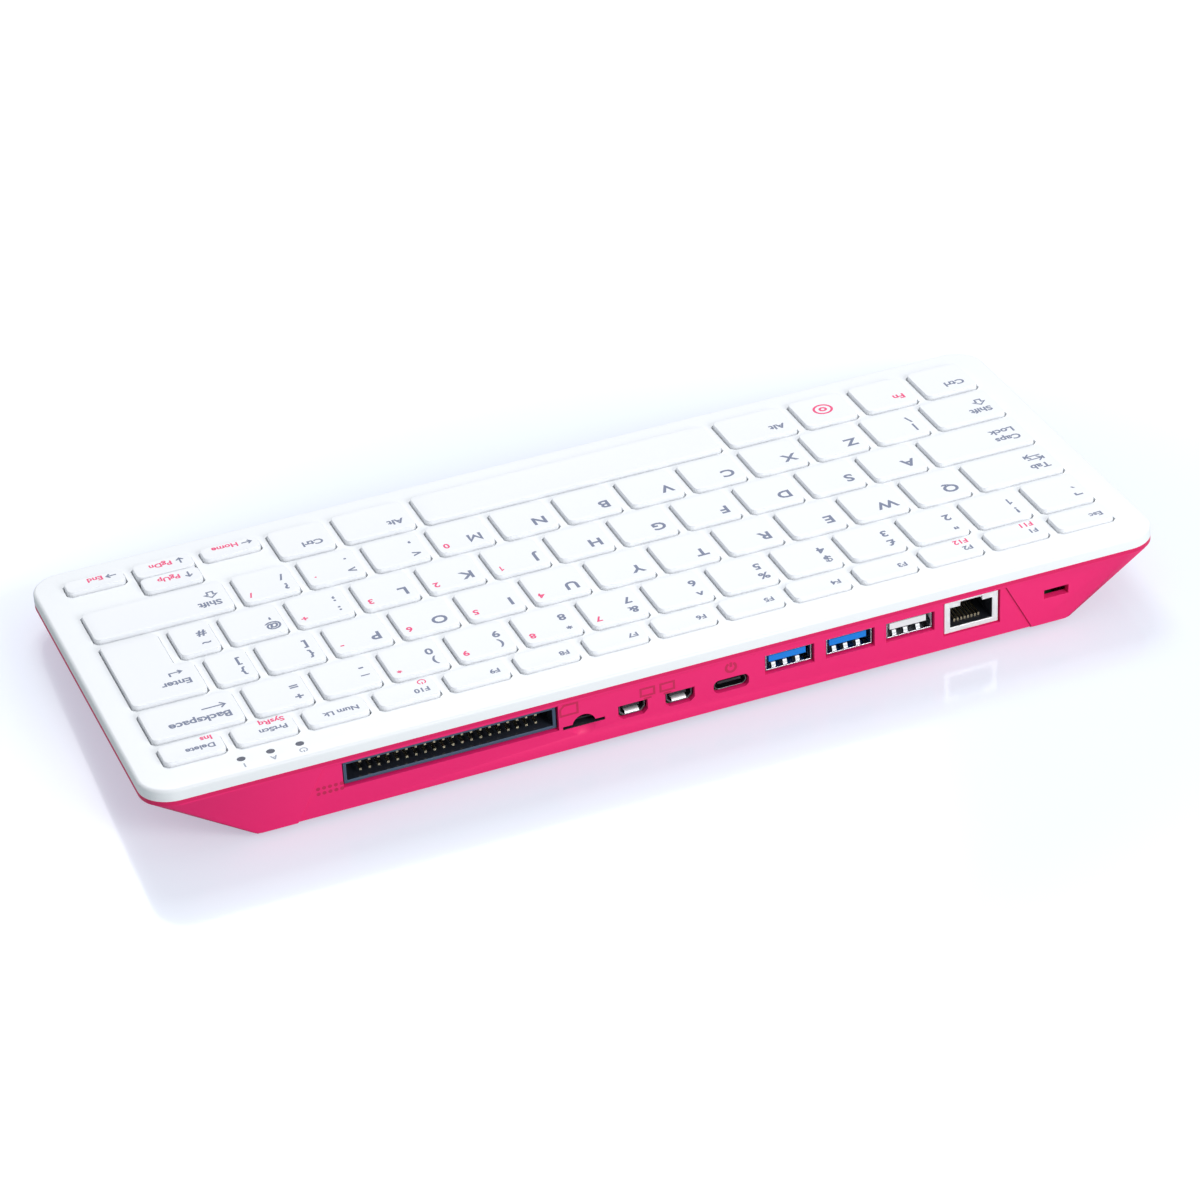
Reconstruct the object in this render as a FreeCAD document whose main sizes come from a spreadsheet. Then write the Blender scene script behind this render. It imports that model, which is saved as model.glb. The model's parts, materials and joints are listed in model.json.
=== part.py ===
import FreeCAD, Part
import math
import os
import Sketcher

# A compact computer built into a keyboard: a tapered tub with the ports in its
# rear wall, and a sloping key deck clipped on top. X runs to the user's right,
# Y to the rear wall with the ports, Z up from the tips of the rubber feet.

Vector = FreeCAD.Vector
doc = FreeCAD.newDocument("keyboard_computer")

SIZES = [
    ("deck_tilt", 4.87),
    ("seam_height", 19.0),
    ("edge_height", 3.4),
    ("rim_height", 1.4),
    ("case_corner", 9.0),
    ("edge_round", 1.0),
    ("shell_wall", 2.2),
    ("deck_thickness", 1.6),
    ("rib_drop", 0.8),
    ("rib_inset", 5.7),
    ("rib_thickness", 0.9),
    ("floor_height", 2.0),
    ("floor_thickness", 1.8),
    ("floor_width", 234.0),
    ("floor_front_inset", 9.0),
    ("floor_corner", 3.0),
    ("floor_side_wall", 1.0),
    ("floor_front_wall", 1.6),
    ("leg_outer_spacing", 230.0),
    ("leg_inner_spacing", 209.0),
    ("leg_drop", 1.1),
    ("leg_slope", 1.5),
    ("leg_rear_inset", 1.5),
    ("leg_front_inset", 14.0),
    ("panel_recess", 0.5),
    ("panel_top_width", 193.0),
    ("panel_bottom_width", 208.6),
    ("panel_top_height", 17.2),
    ("vent_length", 11.0),
    ("vent_width", 1.6),
    ("vent_pitch", 16.0),
    ("vent_count", 9.0),
    ("vent_front", -24.0),
    ("vent_rear", 22.0),
    ("foot_length", 14.0),
    ("foot_width", 6.0),
    ("foot_end_inset", 9.0),
    ("foot_corner", 1.6),
    ("key_pitch", 18.75),
    ("row_width_in_keys", 14.5),
    ("function_depth", 11.8),
    ("front_margin", 6.9),
    ("rear_margin", 9.58),
    ("side_margin", 7.06),
    ("cap_gap", 2.7),
    ("stack_gap", 0.6),
    ("cap_corner", 1.2),
    ("cap_height", 2.7),
    ("cap_rise", 1.2),
    ("cap_roof", 1.0),
    ("cap_skirt", 1.2),
    ("window_gap", 0.35),
    ("window_corner", 1.2),
    ("key_travel", 2.0),
    ("membrane_gap", 0.2),
    ("membrane_thickness", 0.3),
    ("plate_thickness", 0.5),
    ("plate_margin", -1.4),
    ("dome_height", 1.6),
    ("dome_width", 3.6),
    ("light_first", 12.59),
    ("light_pitch", 7.86),
    ("light_behind_keys", 3.3),
    ("light_diameter", 2.3),
    ("light_fit", 0.1),
    ("board_top", 7.7),
    ("board_thickness", 1.4),
    ("board_width", 226.0),
    ("board_front", 3.0),
    ("board_rear_gap", 0.3),
    ("boss_diameter", 6.0),
    ("screw_shank", 2.5),
    ("screw_head", 5.0),
    ("screw_head_height", 1.1),
    ("screw_clearance", 0.4),
    ("screw_side_x", 104.0),
    ("screw_front_y", 14.0),
    ("screw_bite", 3.0),
    ("pilot_fit", 0.1),
    ("chip_height", 1.2),
    ("processor_size", 15.0),
    ("processor_x", -32.0),
    ("processor_y", 22.0),
    ("memory_length", 14.0),
    ("memory_width", 10.0),
    ("pad_thickness", 1.0),
    ("spreader_thickness", 1.4),
    ("spreader_width", 216.0),
    ("spreader_front", 9.5),
    ("spreader_rear", 40.0),
    ("spreader_corner", 4.0),
    ("port_fit", 0.45),
    ("snug_fit", 0.05),
    ("header_gap", 1.5),
    ("header_length", 58.4),
    ("header_bottom", 9.45),
    ("header_height", 7.0),
    ("header_depth", 8.6),
    ("header_wall", 0.9),
    ("pin_pitch", 2.54),
    ("pin_width", 0.64),
    ("pin_recess", 2.4),
    ("card_middle", 25.0),
    ("card_width", 11.8),
    ("card_opening", 1.0),
    ("card_height", 9.2),
    ("card_depth", 12.0),
    ("card_case_height", 2.3),
    ("card_case_wall", 0.8),
    ("scoop_diameter", 6.6),
    ("scoop_height", 8.9),
    ("scoop_depth", 1.1),
    ("scoop_ball", 11.0),
    ("socket_setback", 0.9),
    ("video_first", 11.2),
    ("video_second", -2.1),
    ("video_width", 7.4),
    ("video_height", 3.5),
    ("video_bottom", 7.7),
    ("video_depth", 7.5),
    ("video_shoulder", 1.2),
    ("video_wall", 0.35),
    ("video_tongue_width", 4.6),
    ("video_tongue_height", 0.8),
    ("port_back", 1.0),
    ("tongue_setback", 0.8),
    ("power_middle", -16.7),
    ("power_width", 9.2),
    ("power_height", 3.2),
    ("power_bottom", 7.8),
    ("power_depth", 7.4),
    ("power_wall", 0.3),
    ("power_tongue_width", 6.6),
    ("power_tongue_height", 0.7),
    ("usb_width", 13.3),
    ("usb_height", 5.2),
    ("usb_bottom", 9.75),
    ("usb_depth", 14.0),
    ("usb_wall", 0.4),
    ("usb_tongue_height", 1.9),
    ("usb_tongue_width", 10.6),
    ("usb_tongue_gap", 0.75),
    ("usb_block_depth", 1.5),
    ("usb_first", -33.5),
    ("usb_pitch", 17.5),
    ("network_middle", -86.6),
    ("network_width", 15.8),
    ("network_bottom", 6.6),
    ("network_height", 10.0),
    ("network_depth", 15.0),
    ("network_frame_depth", 2.5),
    ("network_body_height", 8.6),
    ("network_wall", 1.7),
    ("network_skin", 0.4),
    ("network_setback", 0.5),
    ("network_opening_height", 6.5),
    ("network_opening_bottom", 1.5),
    ("network_opening_depth", 11.0),
    ("latch_width", 6.4),
    ("latch_height", 1.3),
    ("contact_pitch", 1.02),
    ("contact_width", 0.5),
    ("contact_height", 0.45),
    ("contact_setback", 3.0),
    ("lock_middle", -111.4),
    ("lock_width", 7.2),
    ("lock_height", 2.8),
    ("lock_bottom", 10.2),
    ("ribbon_middle", 36.0),
    ("ribbon_width", 18.0),
    ("ribbon_thickness", 0.3),
    ("ribbon_start", 22.0),
    ("ribbon_bend", 12.0),
    ("ribbon_socket_inset", 1.0),
    ("ribbon_socket_depth", 4.5),
    ("ribbon_socket_height", 1.8),
    ("ribbon_socket_margin", 1.5),
]

sheet = doc.addObject("Spreadsheet::Sheet", "sizes")
for row, (alias, number) in enumerate(SIZES, start=1):
    sheet.set(f"A{row}", alias)
    sheet.set(f"B{row}", str(number))
    sheet.setAlias(f"B{row}", alias)
doc.recompute()


class Size:
    """A length or angle: its number, and the sheet formula that it comes from."""

    def __init__(self, number, formula=None):
        self.number = float(number)
        self.formula = formula or f"{number:.6f}"

    def __add__(self, other):
        other = as_size(other)
        return Size(self.number + other.number, f"({self.formula} + {other.formula})")

    def __sub__(self, other):
        other = as_size(other)
        return Size(self.number - other.number, f"({self.formula} - {other.formula})")

    def __mul__(self, other):
        other = as_size(other)
        return Size(self.number * other.number, f"({self.formula} * {other.formula})")

    def __truediv__(self, other):
        other = as_size(other)
        return Size(self.number / other.number, f"({self.formula} / {other.formula})")

    def __neg__(self):
        return Size(-self.number, f"(-1 * {self.formula})")

    __radd__ = __add__
    __rmul__ = __mul__

    def __rsub__(self, other):
        return as_size(other) - self


def as_size(value):
    return value if isinstance(value, Size) else Size(value)


def size(alias):
    return Size(sheet.get(alias), f"sizes.{alias}")


def sine(angle):
    return Size(math.sin(math.radians(angle.number)), f"sin({angle.formula})")


def cosine(angle):
    return Size(math.cos(math.radians(angle.number)), f"cos({angle.formula})")


def bind(thing, prop, value):
    """Ties one property of an object to the sheet."""
    thing.setExpression(prop, as_size(value).formula)


# The case follows the field of keys: a margin goes round it, and the length and height
# of the sloping deck give the depth of the case.
LETTER_ROWS = 5
field_width = size("key_pitch") * size("row_width_in_keys")
field_depth = size("key_pitch") * LETTER_ROWS + size("function_depth")
tilt = size("deck_tilt")
case_width = field_width + size("side_margin") * 2
deck_length = size("front_margin") + field_depth + size("rear_margin")
case_depth = deck_length * cosine(tilt) + (
    size("rim_height") + size("edge_height")
) * sine(tilt)

# The deck frame: its origin lies on the seam at the rear edge, its Y climbs to the
# rear along the slope and its Z leaves the deck at a right angle.
deck_origin_y = case_depth / 2 - size("rim_height") * sine(tilt)


def place(thing, prop="Placement", x=0, y=0, z=0, turn=None, axis=Vector(1, 0, 0)):
    """Puts a body or a sketch at a place given by sizes, turned by an angle."""
    x, y, z = as_size(x), as_size(y), as_size(z)
    angle = turn.number if turn else 0.0
    base = Vector(x.number, y.number, z.number)
    setattr(thing, prop, FreeCAD.Placement(base, FreeCAD.Rotation(axis, angle)))
    bind(thing, f"{prop}.Base.x", x)
    bind(thing, f"{prop}.Base.y", y)
    bind(thing, f"{prop}.Base.z", z)
    if turn:
        bind(thing, f"{prop}.Rotation.Angle", turn)


def place_on_deck(thing, prop="Placement"):
    """Lays an object that is drawn in the deck frame onto the sloping seam."""
    place(thing, prop, y=deck_origin_y, z=size("seam_height"), turn=tilt)


def new_body(name):
    body = doc.addObject("PartDesign::Body", name)
    body.Label = name
    body.AllowCompound = True
    return body


def new_sketch(body, name, plane="XY_Plane", height=0):
    """A sketch on one of the body's own origin planes, lifted along its normal."""
    sketch = body.newObject("Sketcher::SketchObject", name)
    base = next(f for f in body.Origin.OriginFeatures if f.Role == plane)
    sketch.AttachmentSupport = [(base, "")]
    sketch.MapMode = "FlatFace"
    place(sketch, "AttachmentOffset", z=height)
    return sketch


def fix_point(sketch, geometry, vertex, x, y):
    """Ties one point of a sketch to sizes measured from the sketch's origin."""
    for direction, value in (("DistanceX", as_size(x)), ("DistanceY", as_size(y))):
        index = sketch.addConstraint(
            Sketcher.Constraint(direction, -1, 1, geometry, vertex, value.number)
        )
        bind(sketch, f"Constraints[{index}]", value)


def draw_polygon(sketch, points):
    """A closed outline of straight lines through the given points."""
    points = [(as_size(x), as_size(y)) for x, y in points]
    corners = [Vector(x.number, y.number, 0) for x, y in points]
    lines = []
    for start, end in zip(corners, corners[1:] + corners[:1]):
        lines.append(sketch.addGeometry(Part.LineSegment(start, end)))
    for line, following in zip(lines, lines[1:] + lines[:1]):
        sketch.addConstraint(Sketcher.Constraint("Coincident", line, 2, following, 1))
    for line, (x, y) in zip(lines, points):
        fix_point(sketch, line, 1, x, y)


def draw_rectangle(sketch, left, bottom, width, height):
    """An upright rectangle from its lower left corner."""
    draw_polygon(sketch, rectangle(left, bottom, width, height))


def draw_round_rectangle(sketch, left, bottom, width, height, radius):
    """An upright rectangle whose four corners are quarter arcs."""
    left, bottom, radius = as_size(left), as_size(bottom), as_size(radius)
    width, height = as_size(width), as_size(height)
    x_low, y_low, r = left.number, bottom.number, radius.number
    x_high, y_high = x_low + width.number, y_low + height.number
    ends = [
        ((x_low + r, y_low), (x_high - r, y_low)),
        ((x_high, y_low + r), (x_high, y_high - r)),
        ((x_high - r, y_high), (x_low + r, y_high)),
        ((x_low, y_high - r), (x_low, y_low + r)),
    ]
    middles = [
        (x_high - r, y_low + r),
        (x_high - r, y_high - r),
        (x_low + r, y_high - r),
        (x_low + r, y_low + r),
    ]
    lines = []
    for start, end in ends:
        segment = Part.LineSegment(Vector(*start, 0), Vector(*end, 0))
        lines.append(sketch.addGeometry(segment))
    arcs = []
    for quarter, (x, y) in enumerate(middles):
        circle = Part.Circle(Vector(x, y, 0), Vector(0, 0, 1), r)
        first = (quarter - 1) * math.pi / 2
        arcs.append(
            sketch.addGeometry(Part.ArcOfCircle(circle, first, first + math.pi / 2))
        )
    for side in range(4):
        following = lines[(side + 1) % 4]
        sketch.addConstraint(
            Sketcher.Constraint("Tangent", lines[side], 2, arcs[side], 1)
        )
        sketch.addConstraint(
            Sketcher.Constraint("Tangent", arcs[side], 2, following, 1)
        )
        direction = "Horizontal" if side % 2 == 0 else "Vertical"
        sketch.addConstraint(Sketcher.Constraint(direction, lines[side]))
    for arc in arcs[1:]:
        sketch.addConstraint(Sketcher.Constraint("Equal", arcs[0], arc))
    index = sketch.addConstraint(Sketcher.Constraint("Radius", arcs[0], r))
    bind(sketch, f"Constraints[{index}]", radius)
    fix_point(sketch, arcs[3], 3, left + radius, bottom + radius)
    fix_point(sketch, arcs[1], 3, left + width - radius, bottom + height - radius)


def soften(points, radius, flats=1):
    """Cuts each right-angled corner off along flats that follow a quarter circle."""
    points = [(as_size(x), as_size(y)) for x, y in points]
    radius = as_size(radius)
    softened = []
    for before, corner, after in zip(points[-1:] + points, points, points[1:] + points):
        to_before = unit_step(corner, before)
        to_after = unit_step(corner, after)
        for step in range(flats + 1):
            angle = math.pi / 2 * step / flats
            along, across = 1 - math.sin(angle), 1 - math.cos(angle)
            x, y = corner
            x += radius * (to_before[0] * along + to_after[0] * across)
            y += radius * (to_before[1] * along + to_after[1] * across)
            softened.append((x, y))
    return softened


def unit_step(start, end):
    """One unit along X or Y from a corner towards its neighbour."""
    x = end[0].number - start[0].number
    y = end[1].number - start[1].number
    length = math.hypot(x, y)
    return round(x / length), round(y / length)


def rectangle(left, bottom, width, height):
    """The four corners of an upright rectangle, anticlockwise."""
    left, bottom = as_size(left), as_size(bottom)
    right, top = left + width, bottom + height
    return [(left, bottom), (right, bottom), (right, top), (left, top)]


def draw_circle(sketch, x, y, diameter):
    x, y, radius = as_size(x), as_size(y), as_size(diameter) / 2
    middle = Vector(x.number, y.number, 0)
    circle = sketch.addGeometry(Part.Circle(middle, Vector(0, 0, 1), radius.number))
    index = sketch.addConstraint(Sketcher.Constraint("Radius", circle, radius.number))
    bind(sketch, f"Constraints[{index}]", radius)
    fix_point(sketch, circle, 3, x, y)


def new_feature(body, kind, name, sketch, **values):
    """A sketch-based feature: sizes are bound to the sheet, the rest is set."""
    feature = body.newObject(f"PartDesign::{kind}", name)
    feature.Profile = sketch
    feature.Refine = False
    for prop, value in values.items():
        if isinstance(value, Size):
            bind(feature, prop, value)
        else:
            setattr(feature, prop, value)
    return feature


def repeat(body, name, feature, direction, length, count):
    """Copies a feature in a straight row; length is from the first to the last."""
    pattern = body.newObject("PartDesign::LinearPattern", name)
    pattern.Originals = [feature]
    pattern.Refine = False
    pattern.Direction = direction
    bind(pattern, "Length", length)
    if isinstance(count, Size):
        bind(pattern, "Occurrences", count)
    else:
        pattern.Occurrences = count
    body.Tip = pattern
    return pattern


def new_box(name, x, y, z, length, width, height):
    """A plain block from its lowest corner; x, y, z and the sides are sizes."""
    box = doc.addObject("Part::Box", name)
    bind(box, "Length", length)
    bind(box, "Width", width)
    bind(box, "Height", height)
    place(box, x=x, y=y, z=z)
    return box


def new_group(name, pieces):
    """Separate solids that share one name, such as a set of pins or screws."""
    group = doc.addObject("Part::Compound", name)
    group.Label = name
    group.Links = pieces
    return group


def cut(name, base, tool):
    result = doc.addObject("Part::Cut", name)
    result.Label = name
    result.Base = base
    result.Tool = tool
    return result


def fuse(name, pieces):
    result = doc.addObject("Part::MultiFuse", name)
    result.Label = name
    result.Shapes = pieces
    return result


def named(thing, name):
    thing.Label = name
    return thing


sub_parts = []
rear = case_depth / 2
panel_face = rear - size("panel_recess")
floor_top = size("floor_height") + size("floor_thickness")
board_bottom = size("board_top") - size("board_thickness")
board_rear = rear - size("shell_wall") - size("board_rear_gap")

# The header stands beside the memory card's socket.
card_side = size("card_middle") + size("card_width") / 2
header_middle = card_side + size("header_gap") + size("header_length") / 2

# Three screws go down through the heat spreader and the board; the ports hold the
# board's rear edge in the panel.
SCREW_PLACES = [
    (size("screw_side_x") * side, size("screw_front_y")) for side in (-1, 0, 1)
]


# The tub's corners are moulded as three flats between the rim and the floor.
CORNER_FLATS = 3


def make_base_case():
    """The tub: a thin rim, walls that slant in to a narrower floor, and two legs."""
    body = new_body("base_case")
    width = case_width
    radius = size("case_corner")
    wall = size("shell_wall")
    rim = size("rim_height")

    seam = new_sketch(body, "tub_seam_outline")
    draw_round_rectangle(seam, -width / 2, -deck_length, width, deck_length, radius)
    place_on_deck(seam, "AttachmentOffset")
    new_feature(body, "Pad", "tub_rim", seam, Length=rim, Reversed=True)

    low_rim = new_sketch(body, "tub_rim_outline")
    outline = rectangle(-width / 2, -deck_length, width, deck_length)
    draw_polygon(low_rim, soften(outline, radius, CORNER_FLATS))
    place(
        low_rim,
        "AttachmentOffset",
        y=deck_origin_y + rim * sine(tilt),
        z=size("seam_height") - rim * cosine(tilt),
        turn=tilt,
    )
    floor = new_sketch(body, "tub_floor_outline", height=size("floor_height"))
    floor_depth = case_depth - size("floor_front_inset")
    outline = rectangle(
        -size("floor_width") / 2, rear - floor_depth, size("floor_width"), floor_depth
    )
    draw_polygon(floor, soften(outline, size("floor_corner"), CORNER_FLATS))
    skin = body.newObject("PartDesign::AdditiveLoft", "tub_skin")
    skin.Profile = low_rim
    skin.Sections = [floor]
    skin.Ruled = True

    hollow_top = new_sketch(body, "tub_hollow_top")
    outline = rectangle(
        wall - width / 2, wall - deck_length, width - wall * 2, deck_length - wall * 2
    )
    draw_polygon(hollow_top, soften(outline, radius - wall))
    place_on_deck(hollow_top, "AttachmentOffset")
    hollow_floor = new_sketch(body, "tub_hollow_floor", height=floor_top)
    inner_width = size("floor_width") - size("floor_side_wall") * 2
    inner_depth = floor_depth - wall - size("floor_front_wall")
    outline = rectangle(
        -inner_width / 2, rear - wall - inner_depth, inner_width, inner_depth
    )
    draw_polygon(hollow_floor, soften(outline, size("floor_corner")))
    hollow = body.newObject("PartDesign::SubtractiveLoft", "tub_hollow")
    hollow.Profile = hollow_top
    hollow.Sections = [hollow_floor]
    hollow.Ruled = True

    # Two legs run from front to back a little below the floor.
    legs = new_sketch(body, "leg_section", "XZ_Plane", -(rear - size("leg_rear_inset")))
    root = size("floor_height") + size("leg_drop") / 2
    tip = size("floor_height") - size("leg_drop")
    outer = size("leg_outer_spacing") / 2
    inner = size("leg_inner_spacing") / 2
    slope = size("leg_slope")
    for side in (1, -1):
        draw_polygon(
            legs,
            [
                ((inner - slope) * side, root),
                (inner * side, tip),
                (outer * side, tip),
                ((outer + slope) * side, root),
            ],
        )
    leg_length = case_depth - size("leg_rear_inset") - size("leg_front_inset")
    new_feature(body, "Pad", "legs", legs, Length=leg_length)

    # Bosses under the circuit board, one for each screw.
    boss_root = size("floor_height") + size("floor_thickness") / 2
    bosses = new_sketch(body, "boss_outline", height=boss_root)
    for x, y in SCREW_PLACES:
        draw_circle(bosses, x, y, size("boss_diameter"))
    boss_height = board_bottom - boss_root
    new_feature(body, "Pad", "bosses", bosses, Length=boss_height)
    pilots = new_sketch(body, "pilot_outline", height=board_bottom)
    for x, y in SCREW_PLACES:
        draw_circle(pilots, x, y, size("screw_shank") + size("pilot_fit"))
    new_feature(body, "Pocket", "pilots", pilots, Length=boss_height)

    # The rear wall has a seat and a window for the panel with the ports, and beside
    # them a slot for a lock.
    seat = new_sketch(body, "panel_seat_outline", "XZ_Plane", -rear)
    draw_polygon(seat, panel_outline(size("floor_height")))
    new_feature(body, "Pocket", "panel_seat", seat, Length=wall, Reversed=True)
    window = new_sketch(body, "panel_window_outline", "XZ_Plane", -rear)
    draw_polygon(window, panel_outline(floor_top))
    draw_rectangle(
        window,
        size("lock_middle") - size("lock_width") / 2,
        size("lock_bottom"),
        size("lock_width"),
        size("lock_height"),
    )
    through = wall + 1
    new_feature(body, "Pocket", "panel_window", window, Length=through, Reversed=True)

    # Slots in the floor let air in under the board, in a front and a rear row.
    for name, place_y in (("front", size("vent_front")), ("rear", size("vent_rear"))):
        vent = new_sketch(body, f"{name}_vent_outline")
        half_row = size("vent_pitch") * (size("vent_count") - 1) / 2
        draw_rectangle(
            vent,
            -half_row - size("vent_length") / 2,
            place_y,
            size("vent_length"),
            size("vent_width"),
        )
        slot = new_feature(
            body,
            "Pocket",
            f"{name}_vent",
            vent,
            Length=floor_top + 0.1,
            Reversed=True,
        )
        repeat(
            body,
            f"{name}_vents",
            slot,
            (vent, ["H_Axis"]),
            half_row * 2,
            size("vent_count"),
        )
    return body


def panel_outline(low, fit=0):
    """The port panel's outline above a height: its ends lean out towards its foot."""
    foot = size("panel_bottom_width") / 2 - fit
    top = size("panel_top_width") / 2 - fit
    high = size("panel_top_height") - fit
    lean = (foot - top) / (size("panel_top_height") - size("floor_height"))
    half = foot - lean * (low - size("floor_height"))
    return [(-half, low), (half, low), (top, high), (-top, high)]


HALF_TURN = 180


def make_port_panel():
    """The panel set in the tub's rear wall, a little deeper than the wall's face."""
    body = new_body("pierced_panel")
    fit = size("snug_fit")
    outline = new_sketch(body, "panel_face_outline", "XZ_Plane", -panel_face)
    draw_polygon(outline, panel_outline(size("floor_height"), fit))
    thickness = size("shell_wall") - size("panel_recess") - fit
    new_feature(body, "Pad", "panel_plate", outline, Length=thickness)

    ports = new_sketch(body, "port_outlines", "XZ_Plane", -panel_face)
    draw_rectangle(
        ports,
        header_middle - size("header_length") / 2 - size("port_fit"),
        size("header_bottom") - size("port_fit"),
        size("header_length") + size("port_fit") * 2,
        size("header_height") + size("port_fit") * 2,
    )
    draw_rectangle(
        ports,
        size("card_middle") - size("card_width") / 2,
        size("card_height") - size("card_opening") / 2,
        size("card_width"),
        size("card_opening"),
    )
    for middle in (size("video_first"), size("video_second")):
        draw_polygon(ports, video_outline(middle, size("port_fit")))
    draw_round_rectangle(
        ports,
        size("power_middle") - size("power_width") / 2 - size("port_fit"),
        size("power_bottom") - size("port_fit"),
        size("power_width") + size("port_fit") * 2,
        size("power_height") + size("port_fit") * 2,
        size("power_height") / 2,
    )
    for number in range(3):
        middle = size("usb_first") - size("usb_pitch") * number
        draw_rectangle(
            ports,
            middle - size("usb_width") / 2 - size("port_fit"),
            size("usb_bottom") - size("port_fit"),
            size("usb_width") + size("port_fit") * 2,
            size("usb_height") + size("port_fit") * 2,
        )
    # The tall network jack takes a notch that is open at the panel's upper edge.
    notch_bottom = size("network_bottom") - size("port_fit")
    draw_rectangle(
        ports,
        size("network_middle") - size("network_width") / 2 - size("port_fit"),
        notch_bottom,
        size("network_width") + size("port_fit") * 2,
        size("panel_top_height") - notch_bottom,
    )
    new_feature(body, "Pocket", "ports", ports, Length=thickness, Reversed=True)

    # A fingertip reaches the memory card through an arch above its slot and a round
    # dimple below it.
    arch = doc.addObject("Part::Cylinder", "card_arch")
    arch.Angle = HALF_TURN
    bind(arch, "Radius", size("scoop_diameter") / 2)
    bind(arch, "Height", thickness)
    place(
        arch,
        x=size("card_middle"),
        y=panel_face,
        z=size("scoop_height"),
        turn=as_size(HALF_TURN) / 2,
    )
    ball_radius = size("scoop_ball") / 2
    ball = doc.addObject("Part::Sphere", "card_dimple")
    bind(ball, "Radius", ball_radius)
    place(
        ball,
        x=size("card_middle"),
        y=panel_face - size("scoop_depth") + ball_radius,
        z=size("scoop_height"),
    )
    return cut("port_panel", cut("arched_panel", body, arch), ball)


def video_outline(middle, grow=0):
    """A flat-topped port outline whose lower corners are cut off at a slant."""
    grow = as_size(grow)
    half = size("video_width") / 2 + grow
    low = size("video_bottom") - grow
    high = size("video_bottom") + size("video_height") + grow
    shoulder = size("video_shoulder")
    return [
        (middle - half + shoulder, low),
        (middle + half - shoulder, low),
        (middle + half, low + shoulder),
        (middle + half, high),
        (middle - half, high),
        (middle - half, low + shoulder),
    ]


# Each row of keys from front to back: its depth, then its caps from the user's
# left to right as (name, width in keys). A name used again in a row is one more
# cap of the same set.
def cap_run(name, count, width=1.0):
    return [(name, width)] * count


# The arrow keys are as wide as the fourteen function keys, and the space bar gives
# up what they take from the last eight keys' width of its row.
ARROW_WIDTH = size("row_width_in_keys") / 14
SPACE_WIDTH = 8 - ARROW_WIDTH * 3

ROWS = [
    (
        "space_row",
        [
            ("control_left_key", 1.0),
            ("function_shift_key", 1.0),
            ("system_key", 1.0),
            ("alt_left_key", 1.25),
            ("space_key", SPACE_WIDTH),
            ("alt_right_key", 1.25),
            ("control_right_key", 1.0),
            ("arrow_left_key", ARROW_WIDTH),
            ("arrow_stack", ARROW_WIDTH),
            ("arrow_right_key", ARROW_WIDTH),
        ],
    ),
    (
        "lower_row",
        [("shift_left_key", 1.25)]
        + cap_run("lower_letter_keys", 11)
        + [("shift_right_key", 2.25)],
    ),
    (
        "home_row",
        [("caps_lock_key", 1.75)]
        + cap_run("home_letter_keys", 11)
        + [("hash_key", 0.75), ("enter_key", 1.0)],
    ),
    (
        "upper_row",
        [("tab_key", 1.5)]
        + cap_run("upper_letter_keys", 11)
        + [("bracket_key", 0.75), ("enter_key_upper", 1.25)],
    ),
    ("number_row", cap_run("number_keys", 13) + [("backspace_key", 1.5)]),
    (
        "function_row",
        [("escape_key", 1.0)]
        + cap_run("function_keys", 9)
        + [
            ("power_key", 1.0),
            ("number_lock_key", 1.0),
            ("print_key", 1.0),
            ("delete_key", 1.0),
        ],
    ),
]

# Keys half as deep as the others, along the front edge or stacked behind it.
HALF_KEYS = ("arrow_left_key", "arrow_right_key", "arrow_down_key")


def key_cells():
    """Works out every key's cell in the deck frame: name, x, y, width, depth."""
    pitch = size("key_pitch")
    field_left = -field_width / 2
    field_front = size("front_margin") - deck_length
    cells = []
    for number, (row, caps) in enumerate(ROWS):
        y = field_front + pitch * number
        unit, depth = pitch, pitch
        if row == "function_row":
            unit = field_width / len(caps)
            depth = size("function_depth")
        steps = 0.0
        for name, width in caps:
            x = field_left + unit * steps
            cell_width = unit * width
            if name == "arrow_stack":
                # These two stand in one window, close together, so each cell runs
                # on past the middle.
                overlap = (size("cap_gap") - size("stack_gap")) / 2
                half = depth / 2 + overlap
                cells.append(("arrow_down_key", x, y, cell_width, half))
                cells.append(("arrow_up_key", x, y + depth - half, cell_width, half))
            elif name in HALF_KEYS:
                cells.append((name, x, y, cell_width, depth / 2))
            else:
                cells.append((name, x, y, cell_width, depth))
            steps += width
    return cells


def key_sets():
    """Gathers the cells by name, in order, keeping the upper part of the enter key."""
    sets = {}
    for cell in key_cells():
        sets.setdefault(cell[0], []).append(cell)
    return sets


KEY_SETS = key_sets()
UPPER_ENTER = KEY_SETS.pop("enter_key_upper")[0]


def cap_outline(cell, inset):
    """A cap's square-cornered outline, inside its cell by the same inset all round."""
    name, x, y, width, depth = cell
    if name != "enter_key":
        return rectangle(x + inset, y + inset, width - inset * 2, depth - inset * 2)
    # The enter key is wider in its upper part than in its lower.
    _, high_x, high_y, _, high_depth = UPPER_ENTER
    left, right = x + inset, x + width - inset
    bottom, top = y + inset, high_y + high_depth - inset
    step_x, step_y = high_x + inset, high_y + inset
    return [
        (left, bottom),
        (right, bottom),
        (right, top),
        (step_x, top),
        (step_x, step_y),
        (left, step_y),
    ]


def upright_edges(shape):
    """Numbers of the edges that run along Z."""
    found = []
    for number, edge in enumerate(shape.Edges, start=1):
        first, last = edge.Vertexes[0].Point, edge.Vertexes[-1].Point
        across = math.hypot(first.x - last.x, first.y - last.y)
        if across < abs(first.z - last.z):
            found.append(number)
    return found


cap_inset = size("cap_gap") / 2
window_inset = cap_inset - size("window_gap")
cap_bottom = size("edge_height") + size("cap_rise") - size("cap_height")
cavity_depth = size("cap_height") - size("cap_roof")


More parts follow.
